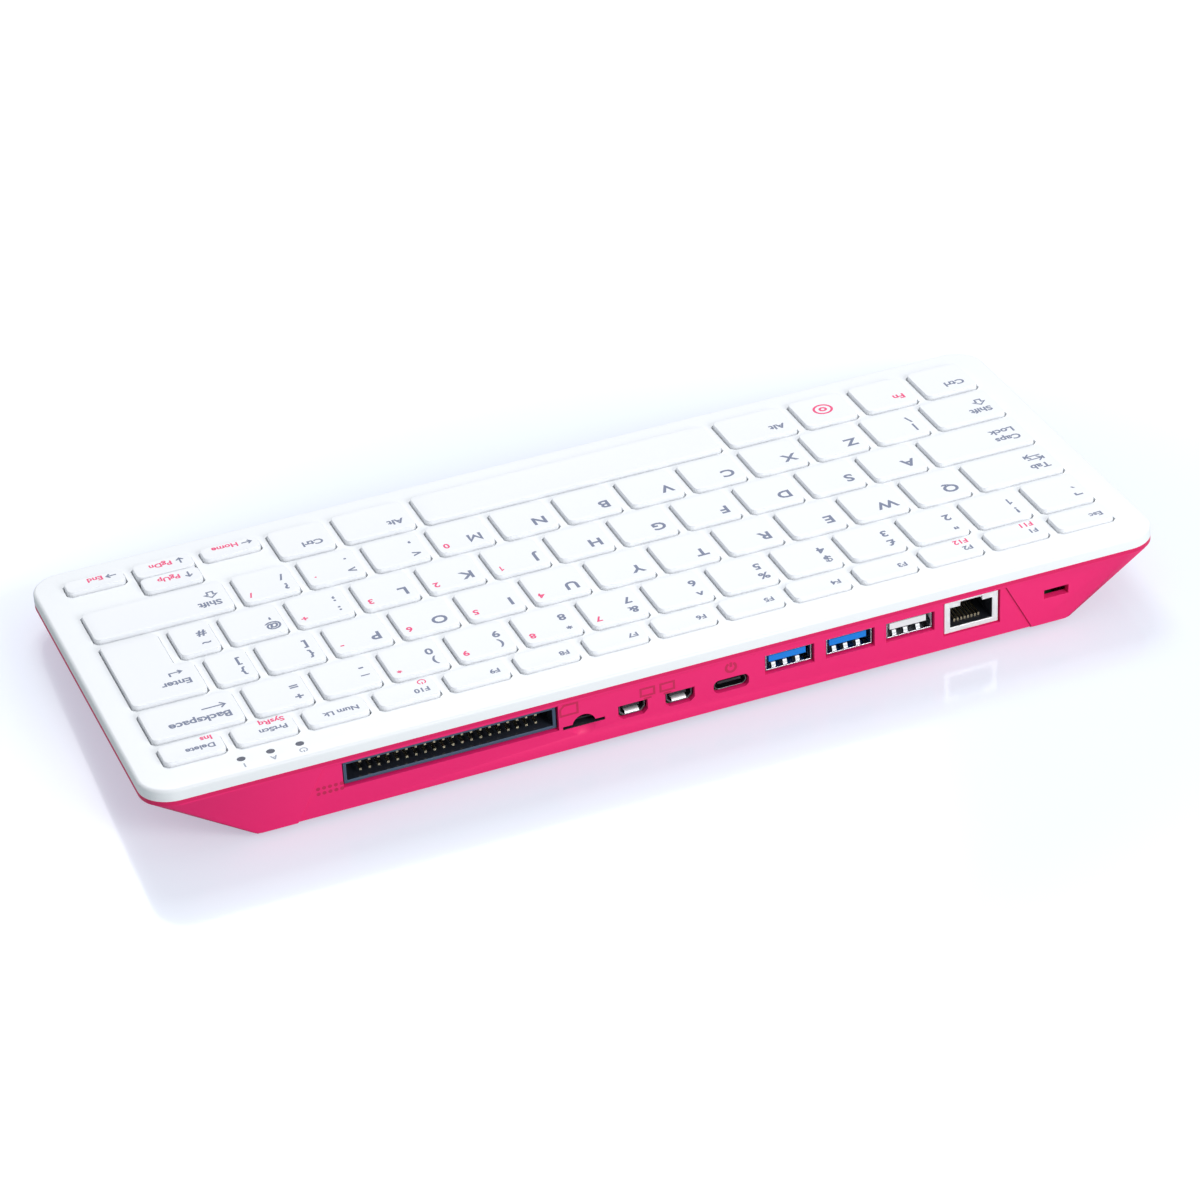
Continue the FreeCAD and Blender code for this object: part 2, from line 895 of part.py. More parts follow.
def make_key(name, cells):
    """One cap, or a row of like caps: a roof with a skirt, open underneath."""
    body = new_body(name)
    place_on_deck(body)
    outline = new_sketch(body, f"{name}_outline", height=cap_bottom)
    corners = cap_outline(cells[0], cap_inset)
    draw_polygon(outline, soften(corners, size("cap_corner")))
    cap = new_feature(
        body, "Pad", f"{name}_cap", outline, Length=size("cap_height")
    )
    cavity = new_sketch(body, f"{name}_cavity_outline", height=cap_bottom)
    draw_polygon(cavity, cap_outline(cells[0], cap_inset + size("cap_skirt")))
    hollow = new_feature(
        body,
        "Pocket",
        f"{name}_cavity",
        cavity,
        Length=cavity_depth,
        Reversed=True,
    )
    if len(cells) > 1:
        row = body.newObject("PartDesign::LinearPattern", f"{name}_row")
        row.Originals = [cap, hollow]
        row.Refine = False
        row.Direction = (outline, ["H_Axis"])
        bind(row, "Length", cells[-1][1] - cells[0][1])
        row.Occurrences = len(cells)
        body.Tip = row
    return body


def make_lid():
    """The lid before its windows: rounded edges, a hollow and two locating ribs."""
    body = new_body("lid")
    place_on_deck(body)
    width = case_width
    wall = size("shell_wall")
    outline = new_sketch(body, "lid_outline")
    draw_round_rectangle(
        outline, -width / 2, -deck_length, width, deck_length, size("case_corner")
    )
    lid = new_feature(body, "Pad", "lid_block", outline, Length=size("edge_height"))
    doc.recompute()
    heights = [face.CenterOfMass.z for face in lid.Shape.Faces]
    top_face = heights.index(max(heights)) + 1
    rounding = body.newObject("PartDesign::Fillet", "lid_edge")
    rounding.Base = (lid, [f"Face{top_face}"])
    bind(rounding, "Radius", size("edge_round"))

    hollow = new_sketch(body, "lid_hollow_outline")
    inside = rectangle(
        wall - width / 2, wall - deck_length, width - wall * 2, deck_length - wall * 2
    )
    draw_polygon(hollow, soften(inside, size("case_corner") - wall))
    hollow_depth = size("edge_height") - size("deck_thickness")
    new_feature(
        body, "Pocket", "lid_hollow", hollow, Length=hollow_depth, Reversed=True
    )

    # Two ribs inside the side walls keep the lid in line with the tub.
    ribs = new_sketch(body, "rib_outline", height=-size("rib_drop"))
    outer = width / 2 - size("rib_inset")
    inner = outer - size("rib_thickness")
    front = -deck_length / 2
    rib_length = deck_length / 2 - size("case_corner") * 2
    draw_rectangle(ribs, inner, front, size("rib_thickness"), rib_length)
    draw_rectangle(ribs, -outer, front, size("rib_thickness"), rib_length)
    new_feature(body, "Pad", "ribs", ribs, Length=hollow_depth + size("rib_drop") + 0.2)
    return body


def make_top_case():
    """The deck: the lid with a window for each key and three holes for lights."""
    lid = make_lid()
    below, above = -1, size("edge_height") + 2
    blocks = []
    for name, cells in KEY_SETS.items():
        if name == "enter_key":
            cells = cells + [UPPER_ENTER]
        if name == "arrow_up_key":
            continue
        for number, (_, x, y, width, depth) in enumerate(cells):
            if name == "enter_key" and number == 0:
                depth = depth + size("cap_gap")
            if name == "arrow_down_key":
                depth = size("key_pitch")
            block = new_box(
                f"{name}_window_{number}",
                x + window_inset,
                y + window_inset,
                below,
                width - window_inset * 2,
                depth - window_inset * 2,
                above,
            )
            blocks.append(block)
    enter = fuse("enter_window", [b for b in blocks if b.Name.startswith("enter_key")])
    blocks = [b for b in blocks if not b.Name.startswith("enter_key")]
    openings = new_group("window_blocks", blocks + [enter])
    doc.recompute()
    corners = doc.addObject("Part::Chamfer", "window_corners")
    corners.Base = openings
    corner = size("window_corner").number
    corners.Edges = [
        (number, corner, corner) for number in upright_edges(openings.Shape)
    ]
    place_on_deck(corners)
    pierced = cut("pierced_lid", lid, corners)
    holes = []
    for number, (x, y) in enumerate(light_places()):
        hole = doc.addObject("Part::Cylinder", f"light_hole_{number}")
        bind(hole, "Radius", size("light_diameter") / 2)
        bind(hole, "Height", above)
        place(hole, x=x, y=y, z=below)
        holes.append(hole)
    light_holes = new_group("light_holes", holes)
    place_on_deck(light_holes)
    return cut("top_case", pierced, light_holes)


def light_places():
    """Where the three lock lights come through, behind the last function keys."""
    first = size("key_pitch") * size("light_first") - field_width / 2
    y = size("light_behind_keys") - size("rear_margin")
    return [(first + size("light_pitch") * number, y) for number in range(3)]


plate_top = (
    cap_bottom - size("key_travel") - size("membrane_gap") - size("membrane_thickness")
)
membrane_top = plate_top + size("membrane_thickness")


def make_keyboard_layers():
    """The plate, the contact membrane and the rubber domes under the caps."""
    margin = size("plate_margin")
    left = -field_width / 2 - margin
    front = size("front_margin") - deck_length - margin
    width = field_width + margin * 2
    depth = field_depth + margin * 2

    plate = new_body("key_plate")
    place_on_deck(plate)
    outline = new_sketch(plate, "plate_outline", height=plate_top)
    draw_rectangle(outline, left, front, width, depth)
    new_feature(
        plate,
        "Pad",
        "plate_sheet",
        outline,
        Length=size("plate_thickness"),
        Reversed=True,
    )

    membrane = new_body("contact_membrane")
    place_on_deck(membrane)
    outline = new_sketch(membrane, "membrane_outline", height=plate_top)
    draw_rectangle(outline, left, front, width, depth)
    new_feature(
        membrane, "Pad", "membrane_sheet", outline, Length=size("membrane_thickness")
    )

    # A square silicone pad stands under each cap, inside its skirt.
    side = size("dome_width")
    pads = []
    for name, cells in KEY_SETS.items():
        for number, (_, x, y, cell_width, cell_depth) in enumerate(cells):
            pads.append(
                new_box(
                    f"{name}_dome_{number}",
                    x + (cell_width - side) / 2,
                    y + (cell_depth - side) / 2,
                    membrane_top,
                    side,
                    side,
                    size("dome_height"),
                )
            )
    domes = new_group("rubber_domes", pads)
    place_on_deck(domes)
    return [plate, membrane, domes]


def make_lights():
    body = new_body("light_pipes")
    place_on_deck(body)
    outline = new_sketch(body, "light_pipe_outline", height=0.4)
    for x, y in light_places():
        draw_circle(outline, x, y, size("light_diameter") - size("light_fit") * 2)
    new_feature(
        body, "Pad", "light_pipe", outline, Length=size("edge_height") - 0.5
    )
    return body


def under_plate(y):
    """Height of the key plate's underside at a distance Y from the middle."""
    drop = plate_top - size("plate_thickness")
    slope = sine(tilt) / cosine(tilt)
    return (
        size("seam_height")
        + drop * cosine(tilt)
        + (as_size(y) - deck_origin_y + drop * sine(tilt)) * slope
    )


def make_feet():
    """Four rubber pads, stuck face to face under the ends of the two legs."""
    body = new_body("rubber_feet")
    outline = new_sketch(body, "foot_outline")
    length, width = size("foot_length"), size("foot_width")
    across = (size("leg_outer_spacing") + size("leg_inner_spacing")) / 4
    rear_end = rear - size("leg_rear_inset") - size("foot_end_inset")
    front_end = size("leg_front_inset") + size("foot_end_inset") - rear
    for x in (-across, across):
        for y in (rear_end - length, front_end):
            pad = rectangle(x - width / 2, y, width, length)
            draw_polygon(outline, soften(pad, size("foot_corner")))
    height = size("floor_height") - size("leg_drop")
    new_feature(body, "Pad", "feet", outline, Length=height)
    return body


def make_main_board():
    """The circuit board, notched for the network jack and drilled for its screws."""
    body = new_body("main_board")
    outline = new_sketch(body, "board_outline", height=board_bottom)
    left, right = -size("board_width") / 2, size("board_width") / 2
    gap = size("port_fit") * 2
    notch_left = size("network_middle") - size("network_width") / 2 - gap
    notch_right = size("network_middle") + size("network_width") / 2 + gap
    notch_front = network_front - gap
    draw_polygon(
        outline,
        [
            (left, size("board_front")),
            (right, size("board_front")),
            (right, board_rear),
            (notch_right, board_rear),
            (notch_right, notch_front),
            (notch_left, notch_front),
            (notch_left, board_rear),
            (left, board_rear),
        ],
    )
    for x, y in SCREW_PLACES:
        draw_circle(outline, x, y, size("screw_shank") + size("screw_clearance"))
    new_feature(body, "Pad", "board", outline, Length=size("board_thickness"))
    return body


def block_on_board(name, middle_x, middle_y, width, depth, height, lift=0):
    """A square-edged component standing on the board, placed by its middle."""
    return new_box(
        name,
        as_size(middle_x) - as_size(width) / 2,
        as_size(middle_y) - as_size(depth) / 2,
        size("board_top") + lift,
        width,
        depth,
        height,
    )


def make_components():
    """The processor, its memory and the smaller chips and coils on the board."""
    side, height = size("processor_size"), size("chip_height")
    x, y = size("processor_x"), size("processor_y")
    processor = block_on_board("processor", x, y, side, side, height)
    memory_x = x + side * 1.5
    memory = block_on_board(
        "memory_chip", memory_x, y, size("memory_length"), size("memory_width"), height
    )
    # Each small piece: its name, its middle, its two sides, and its height in chips.
    small = [
        ("network_chip", -62, 34, 8, 8, 0.8),
        ("hub_chip", -44, 36, 9, 9, 0.8),
        ("power_chip", -14, 42, 6, 6, 0.8),
        ("radio_can", 60, 30, 14, 12, 1.4),
        ("clock_can", 40, 36, 3.2, 2.5, 0.7),
        ("coil_left", -20, 34, 4, 4, 1.5),
        ("coil_right", -8, 34, 4, 4, 1.5),
    ]
    chips = []
    for name, middle_x, middle_y, length, depth, chips_high in small:
        chips.append(
            block_on_board(name, middle_x, middle_y, length, depth, height * chips_high)
        )
    pad = block_on_board(
        "thermal_pad", x, y, side, side, size("pad_thickness"), lift=height
    )
    return [
        named(processor, "processor"),
        named(memory, "memory_chip"),
        new_group("board_chips", chips),
        named(pad, "thermal_pad"),
    ]


def make_heat_spreader():
    """An aluminium sheet over the board, held off it by three round pillars."""
    body = new_body("heat_spreader")
    outline = new_sketch(body, "spreader_outline", height=spreader_bottom)
    width = size("spreader_width")
    depth = size("spreader_rear") - size("spreader_front")
    sheet_outline = rectangle(-width / 2, size("spreader_front"), width, depth)
    draw_polygon(outline, soften(sheet_outline, size("spreader_corner")))
    new_feature(
        body, "Pad", "spreader_sheet", outline, Length=size("spreader_thickness")
    )
    pillars = new_sketch(body, "pillar_outline", height=size("board_top"))
    for x, y in SCREW_PLACES:
        draw_circle(pillars, x, y, size("boss_diameter"))
    gap_to_board = spreader_bottom - size("board_top")
    new_feature(body, "Pad", "pillars", pillars, Length=gap_to_board)
    drills = new_sketch(body, "pillar_drill_outline", height=size("board_top"))
    for x, y in SCREW_PLACES:
        draw_circle(drills, x, y, size("screw_shank") + size("screw_clearance"))
    new_feature(
        body,
        "Pocket",
        "pillar_drills",
        drills,
        Length=gap_to_board + size("spreader_thickness"),
        Reversed=True,
    )
    return body


def make_screws():
    """Pan-head screws, from the heat spreader through the board into the bosses."""
    pieces = []
    shank_end = board_bottom - size("screw_bite")
    for number, (x, y) in enumerate(SCREW_PLACES):
        head = doc.addObject("Part::Cylinder", f"screw_head_{number}")
        bind(head, "Radius", size("screw_head") / 2)
        bind(head, "Height", size("screw_head_height"))
        place(head, x=x, y=y, z=spreader_top)
        shank = doc.addObject("Part::Cylinder", f"screw_shank_{number}")
        bind(shank, "Radius", size("screw_shank") / 2)
        bind(shank, "Height", spreader_top - shank_end)
        place(shank, x=x, y=y, z=shank_end)
        pieces.append(fuse(f"screw_{number}", [head, shank]))
    return new_group("board_screws", pieces)


def make_ribbon():
    """The flat cable from under the key plate down to its socket on the board."""
    middle, width = size("ribbon_middle"), size("ribbon_width")
    thickness = size("ribbon_thickness")
    socket_front = size("board_front") + size("ribbon_socket_inset")
    margin = size("ribbon_socket_margin")
    socket = new_box(
        "ribbon_socket_block",
        middle - width / 2 - margin,
        socket_front,
        size("board_top"),
        width + margin * 2,
        size("ribbon_socket_depth"),
        size("ribbon_socket_height"),
    )
    mouth_z = size("board_top") + size("ribbon_socket_height") / 2
    body = new_body("keyboard_ribbon")
    side = new_sketch(body, "ribbon_side", "YZ_Plane", middle - width / 2)
    start = socket_front - size("ribbon_start")
    bend = socket_front - size("ribbon_bend")
    gap = size("snug_fit")
    upper = [
        (start, under_plate(start) - gap),
        (bend, under_plate(bend) - gap),
        (bend + size("ribbon_bend") / 2, mouth_z + thickness * 3),
        (bend + size("ribbon_bend") * 0.75, mouth_z + thickness / 2),
        (socket_front, mouth_z + thickness / 2),
    ]
    lower = [(y, z - thickness) for y, z in reversed(upper)]
    draw_polygon(side, upper + lower)
    new_feature(body, "Pad", "ribbon", side, Length=width)
    return [body, named(socket, "ribbon_socket")]


def make_header():
    """The forty-pin header: a shroud open to the rear, and two rows of pins."""
    body = new_body("header_shroud")
    wall = size("header_wall")
    left = header_middle - size("header_length") / 2
    face = panel_face - size("socket_setback")
    outline = new_sketch(body, "shroud_outline", "XZ_Plane", -face)
    draw_rectangle(
        outline,
        left,
        size("header_bottom"),
        size("header_length"),
        size("header_height"),
    )
    new_feature(body, "Pad", "shroud", outline, Length=size("header_depth"))
    cavity = new_sketch(body, "shroud_cavity_outline", "XZ_Plane", -face)
    draw_rectangle(
        cavity,
        left + wall,
        size("header_bottom") + wall,
        size("header_length") - wall * 2,
        size("header_height") - wall * 2,
    )
    cavity_depth = size("header_depth") - wall * 2
    new_feature(
        body, "Pocket", "shroud_cavity", cavity, Length=cavity_depth, Reversed=True
    )
    base = new_sketch(body, "shroud_base_outline", height=size("board_top"))
    base_front = face - size("header_depth")
    draw_rectangle(
        base, left, base_front, size("header_length"), board_rear - base_front
    )
    new_feature(
        body,
        "Pad",
        "shroud_base",
        base,
        Length=size("header_bottom") - size("board_top") + wall / 2,
    )

    pins = []
    pitch, thick = size("pin_pitch"), size("pin_width")
    middle_z = size("header_bottom") + size("header_height") / 2
    pin_front = face - cavity_depth
    for column in range(20):
        for row in range(2):
            x = header_middle + pitch * (column - 9.5)
            z = middle_z + pitch * (row - 0.5)
            pins.append(
                new_box(
                    f"pin_{column}_{row}",
                    x - thick / 2,
                    pin_front,
                    z - thick / 2,
                    thick,
                    panel_face - size("pin_recess") - pin_front,
                    thick,
                )
            )
    return [body, new_group("header_pins", pins)]


def make_card_socket():
    """The memory card's socket: a low metal case with a slot in its rear face."""
    wall = size("card_case_wall")
    width = size("card_width") + wall
    depth = size("card_depth")
    case = block_on_board(
        "card_case",
        size("card_middle"),
        board_rear - depth / 2,
        width,
        depth,
        size("card_case_height"),
    )
    slot = new_box(
        "card_slot",
        size("card_middle") - (width - wall * 2) / 2,
        board_rear - depth + wall,
        size("card_height") - size("card_opening") * 0.4,
        width - wall * 2,
        depth,
        size("card_opening") * 0.8,
    )
    return cut("card_socket", case, slot)


def make_video_ports():
    """Two small video sockets: bent metal shells, each round a plastic tongue."""
    middles = (size("video_first"), size("video_second"))
    face = panel_face - size("socket_setback")
    body = new_body("video_shells")
    outline = new_sketch(body, "video_outline", "XZ_Plane", -face)
    inner = new_sketch(body, "video_mouth_outline", "XZ_Plane", -face)
    for middle in middles:
        draw_polygon(outline, video_outline(middle))
        draw_polygon(inner, video_outline(middle, -size("video_wall")))
    new_feature(body, "Pad", "video_shell", outline, Length=size("video_depth"))
    mouth_depth = size("video_depth") - size("port_back")
    new_feature(
        body, "Pocket", "video_mouth", inner, Length=mouth_depth, Reversed=True
    )
    tongues = []
    for number, middle in enumerate(middles):
        width = size("video_tongue_width")
        tongues.append(
            new_box(
                f"video_tongue_{number}",
                middle - width / 2,
                face - mouth_depth,
                size("video_bottom") + size("video_height") / 2,
                width,
                mouth_depth - size("tongue_setback"),
                size("video_tongue_height"),
            )
        )
    return [body, new_group("video_tongues", tongues)]


def make_power_port():
    """The oval power socket and the thin tongue at its middle."""
    face = panel_face - size("socket_setback")
    wall = size("power_wall")
    width, height = size("power_width"), size("power_height")
    left = size("power_middle") - width / 2
    body = new_body("power_shell")
    outline = new_sketch(body, "power_outline", "XZ_Plane", -face)
    radius = height / 2 - size("snug_fit")
    draw_round_rectangle(outline, left, size("power_bottom"), width, height, radius)
    new_feature(body, "Pad", "power_case", outline, Length=size("power_depth"))
    inner = new_sketch(body, "power_mouth_outline", "XZ_Plane", -face)
    draw_round_rectangle(
        inner,
        left + wall,
        size("power_bottom") + wall,
        width - wall * 2,
        height - wall * 2,
        radius - wall,
    )
    mouth_depth = size("power_depth") - size("port_back")
    new_feature(
        body, "Pocket", "power_mouth", inner, Length=mouth_depth, Reversed=True
    )
    thick = size("power_tongue_height")
    tongue = new_box(
        "power_tongue_block",
        size("power_middle") - size("power_tongue_width") / 2,
        face - mouth_depth,
        size("power_bottom") + (height - thick) / 2,
        size("power_tongue_width"),
        mouth_depth - size("tongue_setback"),
        thick,
    )
    return [body, named(tongue, "power_tongue")]


def make_usb_ports(name, numbers):
    """Flat rectangular sockets: steel shells with a plastic tongue near the top."""
    face = panel_face - size("socket_setback")
    wall, depth = size("usb_wall"), size("usb_depth")
    width, height = size("usb_width"), size("usb_height")
    back_wall, fit = size("port_back"), size("snug_fit")
    body = new_body(f"{name}_shell")
    outline = new_sketch(body, f"{name}_outline", "XZ_Plane", -face)
    inner = new_sketch(body, f"{name}_mouth_outline", "XZ_Plane", -face)
    legs = new_sketch(body, f"{name}_leg_outline", height=size("board_top"))
    tongues = []
    for number in numbers:
        middle = size("usb_first") - size("usb_pitch") * number
        left = middle - width / 2
        draw_rectangle(outline, left, size("usb_bottom"), width, height)
        draw_rectangle(
            inner,
            left + wall,
            size("usb_bottom") + wall,
            width - wall * 2,
            height - wall * 2,
        )
        for edge in (left, left + width - wall):
            draw_rectangle(legs, edge, face - depth, wall, depth / 2)
        tongue_top = (
            size("usb_bottom") + height - wall - size("usb_tongue_gap")
        )
        tongue = new_box(
            f"{name}_tongue_{number}",
            middle - size("usb_tongue_width") / 2,
            face - depth + back_wall,
            tongue_top - size("usb_tongue_height"),
            size("usb_tongue_width"),
            depth - back_wall - size("tongue_setback"),
            size("usb_tongue_height"),
        )
        back = new_box(
            f"{name}_back_{number}",
            left + wall + fit,
            face - depth + back_wall,
            size("usb_bottom") + wall + fit,
            width - (wall + fit) * 2,
            size("usb_block_depth"),
            height - (wall + fit) * 2,
        )
        tongues.append(fuse(f"{name}_insulator_{number}", [tongue, back]))
    new_feature(body, "Pad", f"{name}_case", outline, Length=depth)
    new_feature(
        body,
        "Pocket",
        f"{name}_mouth",
        inner,
        Length=depth - back_wall,
        Reversed=True,
    )
    leg_height = size("usb_bottom") - size("board_top") + wall / 2
    new_feature(body, "Pad", f"{name}_legs", legs, Length=leg_height)
    return [body, new_group(f"{name}_tongue", tongues)]


def make_network_jack():
    """The network jack: a bright steel shell round a black insert and contacts."""
    face = panel_face - size("network_setback")
    width, bottom = size("network_width"), size("network_bottom")
    left = size("network_middle") - width / 2
    front_depth = size("network_frame_depth")
    frame = new_box(
        "network_frame",
        left,
        face - front_depth,
        bottom,
        width,
        front_depth,
        size("network_height"),
    )
    case = new_box(
        "network_case",
        left,
        network_front,
        bottom,
        width,
        face - network_front,
        size("network_body_height"),
    )
    skin = size("network_skin")
    room = new_box(
        "network_room",
        left + skin,
        network_front - skin,
        bottom + skin,
        width - skin * 2,
        face - network_front,
        size("network_body_height") - skin * 2,
    )
    opening_width = width - size("network_wall") * 2
    opening_bottom = bottom + size("network_opening_bottom")

    def make_opening(owner, start):
        main = new_box(
            f"{owner}_opening",
            size("network_middle") - opening_width / 2,
            start,
            opening_bottom,
            opening_width,
            size("network_depth"),
            size("network_opening_height"),
        )
        latch = new_box(
            f"{owner}_latch",
            size("network_middle") - size("latch_width") / 2,
            start,
            opening_bottom,
            size("latch_width"),
            size("network_depth"),
            size("network_opening_height") + size("latch_height"),
        )
        return fuse(f"{owner}_mouth", [main, latch])

    outer = fuse("network_outer", [frame, case])
    hollow = cut("network_hollow", outer, room)
    front_plate = face - front_depth + skin
    shell = cut("network_shell", hollow, make_opening("network_shell", front_plate))
    fit = size("snug_fit")
    filling = new_box(
        "network_filling",
        left + skin + fit,
        network_front,
        bottom + skin + fit,
        width - skin * 2 - fit * 2,
        face - network_front - skin - fit,
        size("network_body_height") - skin * 2 - fit * 2,
    )
    pocket_start = face - size("network_opening_depth")
    insert = cut(
        "network_insert", filling, make_opening("network_insert", pocket_start)
    )
    contacts = []
    for number in range(8):
        x = size("network_middle") + size("contact_pitch") * (number - 3.5)
        contacts.append(
            new_box(
                f"contact_{number}",
                x - size("contact_width") / 2,
                pocket_start,
                opening_bottom,
                size("contact_width"),
                size("network_opening_depth") - size("contact_setback"),
                size("contact_height"),
            )
        )
    return [shell, insert, new_group("network_contacts", contacts)]


spreader_bottom = size("board_top") + size("chip_height") + size("pad_thickness")
spreader_top = spreader_bottom + size("spreader_thickness")
network_front = panel_face - size("network_setback") - size("network_depth")

sub_parts.append(make_base_case())
sub_parts.append(make_port_panel())
sub_parts.append(make_top_case())
sub_parts += make_keyboard_layers()
sub_parts.append(make_lights())
sub_parts.append(make_feet())
sub_parts.append(make_main_board())
sub_parts += make_components()
sub_parts.append(make_heat_spreader())
sub_parts.append(make_screws())
sub_parts += make_ribbon()
sub_parts += make_header()
sub_parts.append(make_card_socket())
sub_parts += make_video_ports()
sub_parts += make_power_port()
sub_parts += make_usb_ports("fast_ports", (0, 1))
sub_parts += make_usb_ports("slow_port", (2,))
sub_parts += make_network_jack()
for name, cells in KEY_SETS.items():
    sub_parts.append(make_key(name, cells))

doc.recompute()
for thing in doc.Objects:
    if "Invalid" in thing.State or "Error" in thing.State:
        raise RuntimeError(f"{thing.Name} did not build: {thing.State}")
os.makedirs("parts", exist_ok=True)
for part in sub_parts:
    shape = part.Shape
    if shape.isNull() or not shape.isValid():
        raise RuntimeError(f"{part.Label} has no valid shape")
    shape.exportStep(f"parts/{part.Label}.step")
    print(part.Label, len(shape.Solids), round(shape.Volume, 1))
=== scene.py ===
import json
import math

import bmesh
import bpy
import numpy as np
from mathutils import Matrix, Vector


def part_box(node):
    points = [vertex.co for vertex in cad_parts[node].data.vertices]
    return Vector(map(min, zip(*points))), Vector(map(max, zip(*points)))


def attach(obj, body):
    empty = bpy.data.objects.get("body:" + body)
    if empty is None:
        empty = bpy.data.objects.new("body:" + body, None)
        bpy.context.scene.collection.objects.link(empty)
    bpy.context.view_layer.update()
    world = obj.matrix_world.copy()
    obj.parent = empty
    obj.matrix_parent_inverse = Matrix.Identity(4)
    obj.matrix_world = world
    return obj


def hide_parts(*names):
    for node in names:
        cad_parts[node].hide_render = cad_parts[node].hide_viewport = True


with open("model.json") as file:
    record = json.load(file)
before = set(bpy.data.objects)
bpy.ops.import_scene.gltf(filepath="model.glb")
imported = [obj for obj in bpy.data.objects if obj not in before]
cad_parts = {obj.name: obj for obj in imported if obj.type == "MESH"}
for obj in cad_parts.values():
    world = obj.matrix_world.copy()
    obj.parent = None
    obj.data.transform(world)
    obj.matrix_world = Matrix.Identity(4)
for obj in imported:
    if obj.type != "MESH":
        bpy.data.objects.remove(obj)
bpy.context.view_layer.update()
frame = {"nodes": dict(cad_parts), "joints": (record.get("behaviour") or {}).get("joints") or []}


# The camera looks down at the keyboard from behind its right-hand end. Its place and
# lens were worked out from the sockets and the corners of the case.
def add_object(name, data):
    """Puts data into the scene as an object."""
    thing = bpy.data.objects.new(name, data)
    bpy.context.scene.collection.objects.link(thing)
    return thing


camera_place = Vector((0.32245, 0.91927, 0.68560))
camera_right = Vector((-0.931547, 0.361107, -0.042684))
camera_up = Vector((-0.240284, -0.523216, 0.817624))
camera_back = Vector((0.272916, 0.771912, 0.574168))
camera_data = bpy.data.cameras.new("studio_camera")
camera_data.lens = 130.0
camera_data.sensor_width = 36.0
camera_data.clip_start = 0.05
camera_data.clip_end = 30.0
camera = add_object("studio_camera", camera_data)
turn = Matrix((camera_right, camera_up, camera_back)).transposed()
camera.matrix_world = Matrix.Translation(camera_place) @ turn.to_4x4()
bpy.context.scene.camera = camera
bpy.context.scene.view_settings.view_transform = "Standard"


# The table is a pale glossy sheet that keeps the object's soft shadow. A violet glow
# that only the camera sees makes it white and paints the violet into the shadow. The
# glow is stronger away from the object: painted light that whitens the far floor and
# the outer edge of the shadow.
def make_nodes(owner, output="OutputMaterial"):
    """Empties a material's or a world's node tree, and returns it with an output node."""
    owner.use_nodes = True
    tree = owner.node_tree
    tree.nodes.clear()
    return tree, tree.nodes.new("ShaderNode" + output)


def add_node(tree, kind, values=None, **settings):
    """A new node with its own settings, and with values for some of its inputs."""
    node = tree.nodes.new("ShaderNode" + kind)
    for name, value in settings.items():
        setattr(node, name, value)
    for socket, value in (values or {}).items():
        node.inputs[socket].default_value = value
    return node


def link_nodes(tree, *links):
    """Links nodes. Each link is (node, its output, next node, its input)."""
    for source, output, target, socket in links:
        tree.links.new(source.outputs[output], target.inputs[socket])


TABLE_HALF = 7.0
GLOW_NEAR = 0.5
GLOW_FAR = 0.95
# The glow grows with the distance from an oval's middle, from one reach to the other;
# this rise is painted light.
OVAL_STRETCH = (0.7, 1.0, 1.0)
OVAL_SHIFT = (0.0, -0.04, 0.0)
REACH_NEAR = 0.11
REACH_FAR = 0.24
table_mesh = bpy.data.meshes.new("table_top")
table_corners = [(-1, -1), (1, -1), (1, 1), (-1, 1)]
table_mesh.from_pydata(
    [(x * TABLE_HALF, y * TABLE_HALF, 0.0) for x, y in table_corners], [], [(0, 1, 2, 3)]
)
table_top = add_object("table_top", table_mesh)
table_paint = bpy.data.materials.new("table_paint")
tree, output = make_nodes(table_paint)
sheet = add_node(
    tree,
    "BsdfPrincipled",
    {"Base Color": (0.47, 0.54, 0.54, 1.0), "Roughness": 0.12, "Specular IOR Level": 0.14},
)
glow = add_node(tree, "Emission", {"Color": (0.85, 0.83, 1.0, 1.0)})
place = add_node(tree, "TexCoord")
oval = add_node(tree, "VectorMath", {1: OVAL_STRETCH, 2: OVAL_SHIFT}, operation="MULTIPLY_ADD")
reach = add_node(tree, "VectorMath", operation="LENGTH")
spread = add_node(
    tree,
    "MapRange",
    {"From Min": REACH_NEAR, "From Max": REACH_FAR, "To Min": GLOW_NEAR, "To Max": GLOW_FAR},
    interpolation_type="SMOOTHSTEP",
)
rays = add_node(tree, "LightPath")
seen_glow = add_node(tree, "Math", operation="MULTIPLY")
both = add_node(tree, "AddShader")
link_nodes(
    tree,
    (place, "Object", oval, 0),
    (oval, "Vector", reach, 0),
    (reach, "Value", spread, "Value"),
    (rays, "Is Camera Ray", seen_glow, 0),
    (spread, "Result", seen_glow, 1),
    (seen_glow, 0, glow, "Strength"),
    (sheet, 0, both, 0),
    (glow, 0, both, 1),
    (both, 0, output, "Surface"),
)
table_mesh.materials.append(table_paint)


# Light comes from a large soft box beyond the keys, from a smaller one on the side of
# the sockets, and from the pale room.
def soft_box(name, place, aim, width, watts):
    """A square lamp of the given width in metres, turned to face a point."""
    data = bpy.data.lights.new(name, "AREA")
    data.shape = "SQUARE"
    data.size = width
    data.energy = watts
    lamp = add_object(name, data)
    lamp.location = place
    lamp.rotation_mode = "QUATERNION"
    lamp.rotation_quaternion = (Vector(aim) - Vector(place)).to_track_quat("-Z", "Y")


soft_box("far_soft_box", (-0.4, -1.6, 1.76), (0.0, 0.0, 0.0), width=0.88, watts=23.5)
soft_box("side_soft_box", (-0.52, 1.0, 0.62), (-0.05, 0.0, 0.0), width=0.5, watts=9.8)

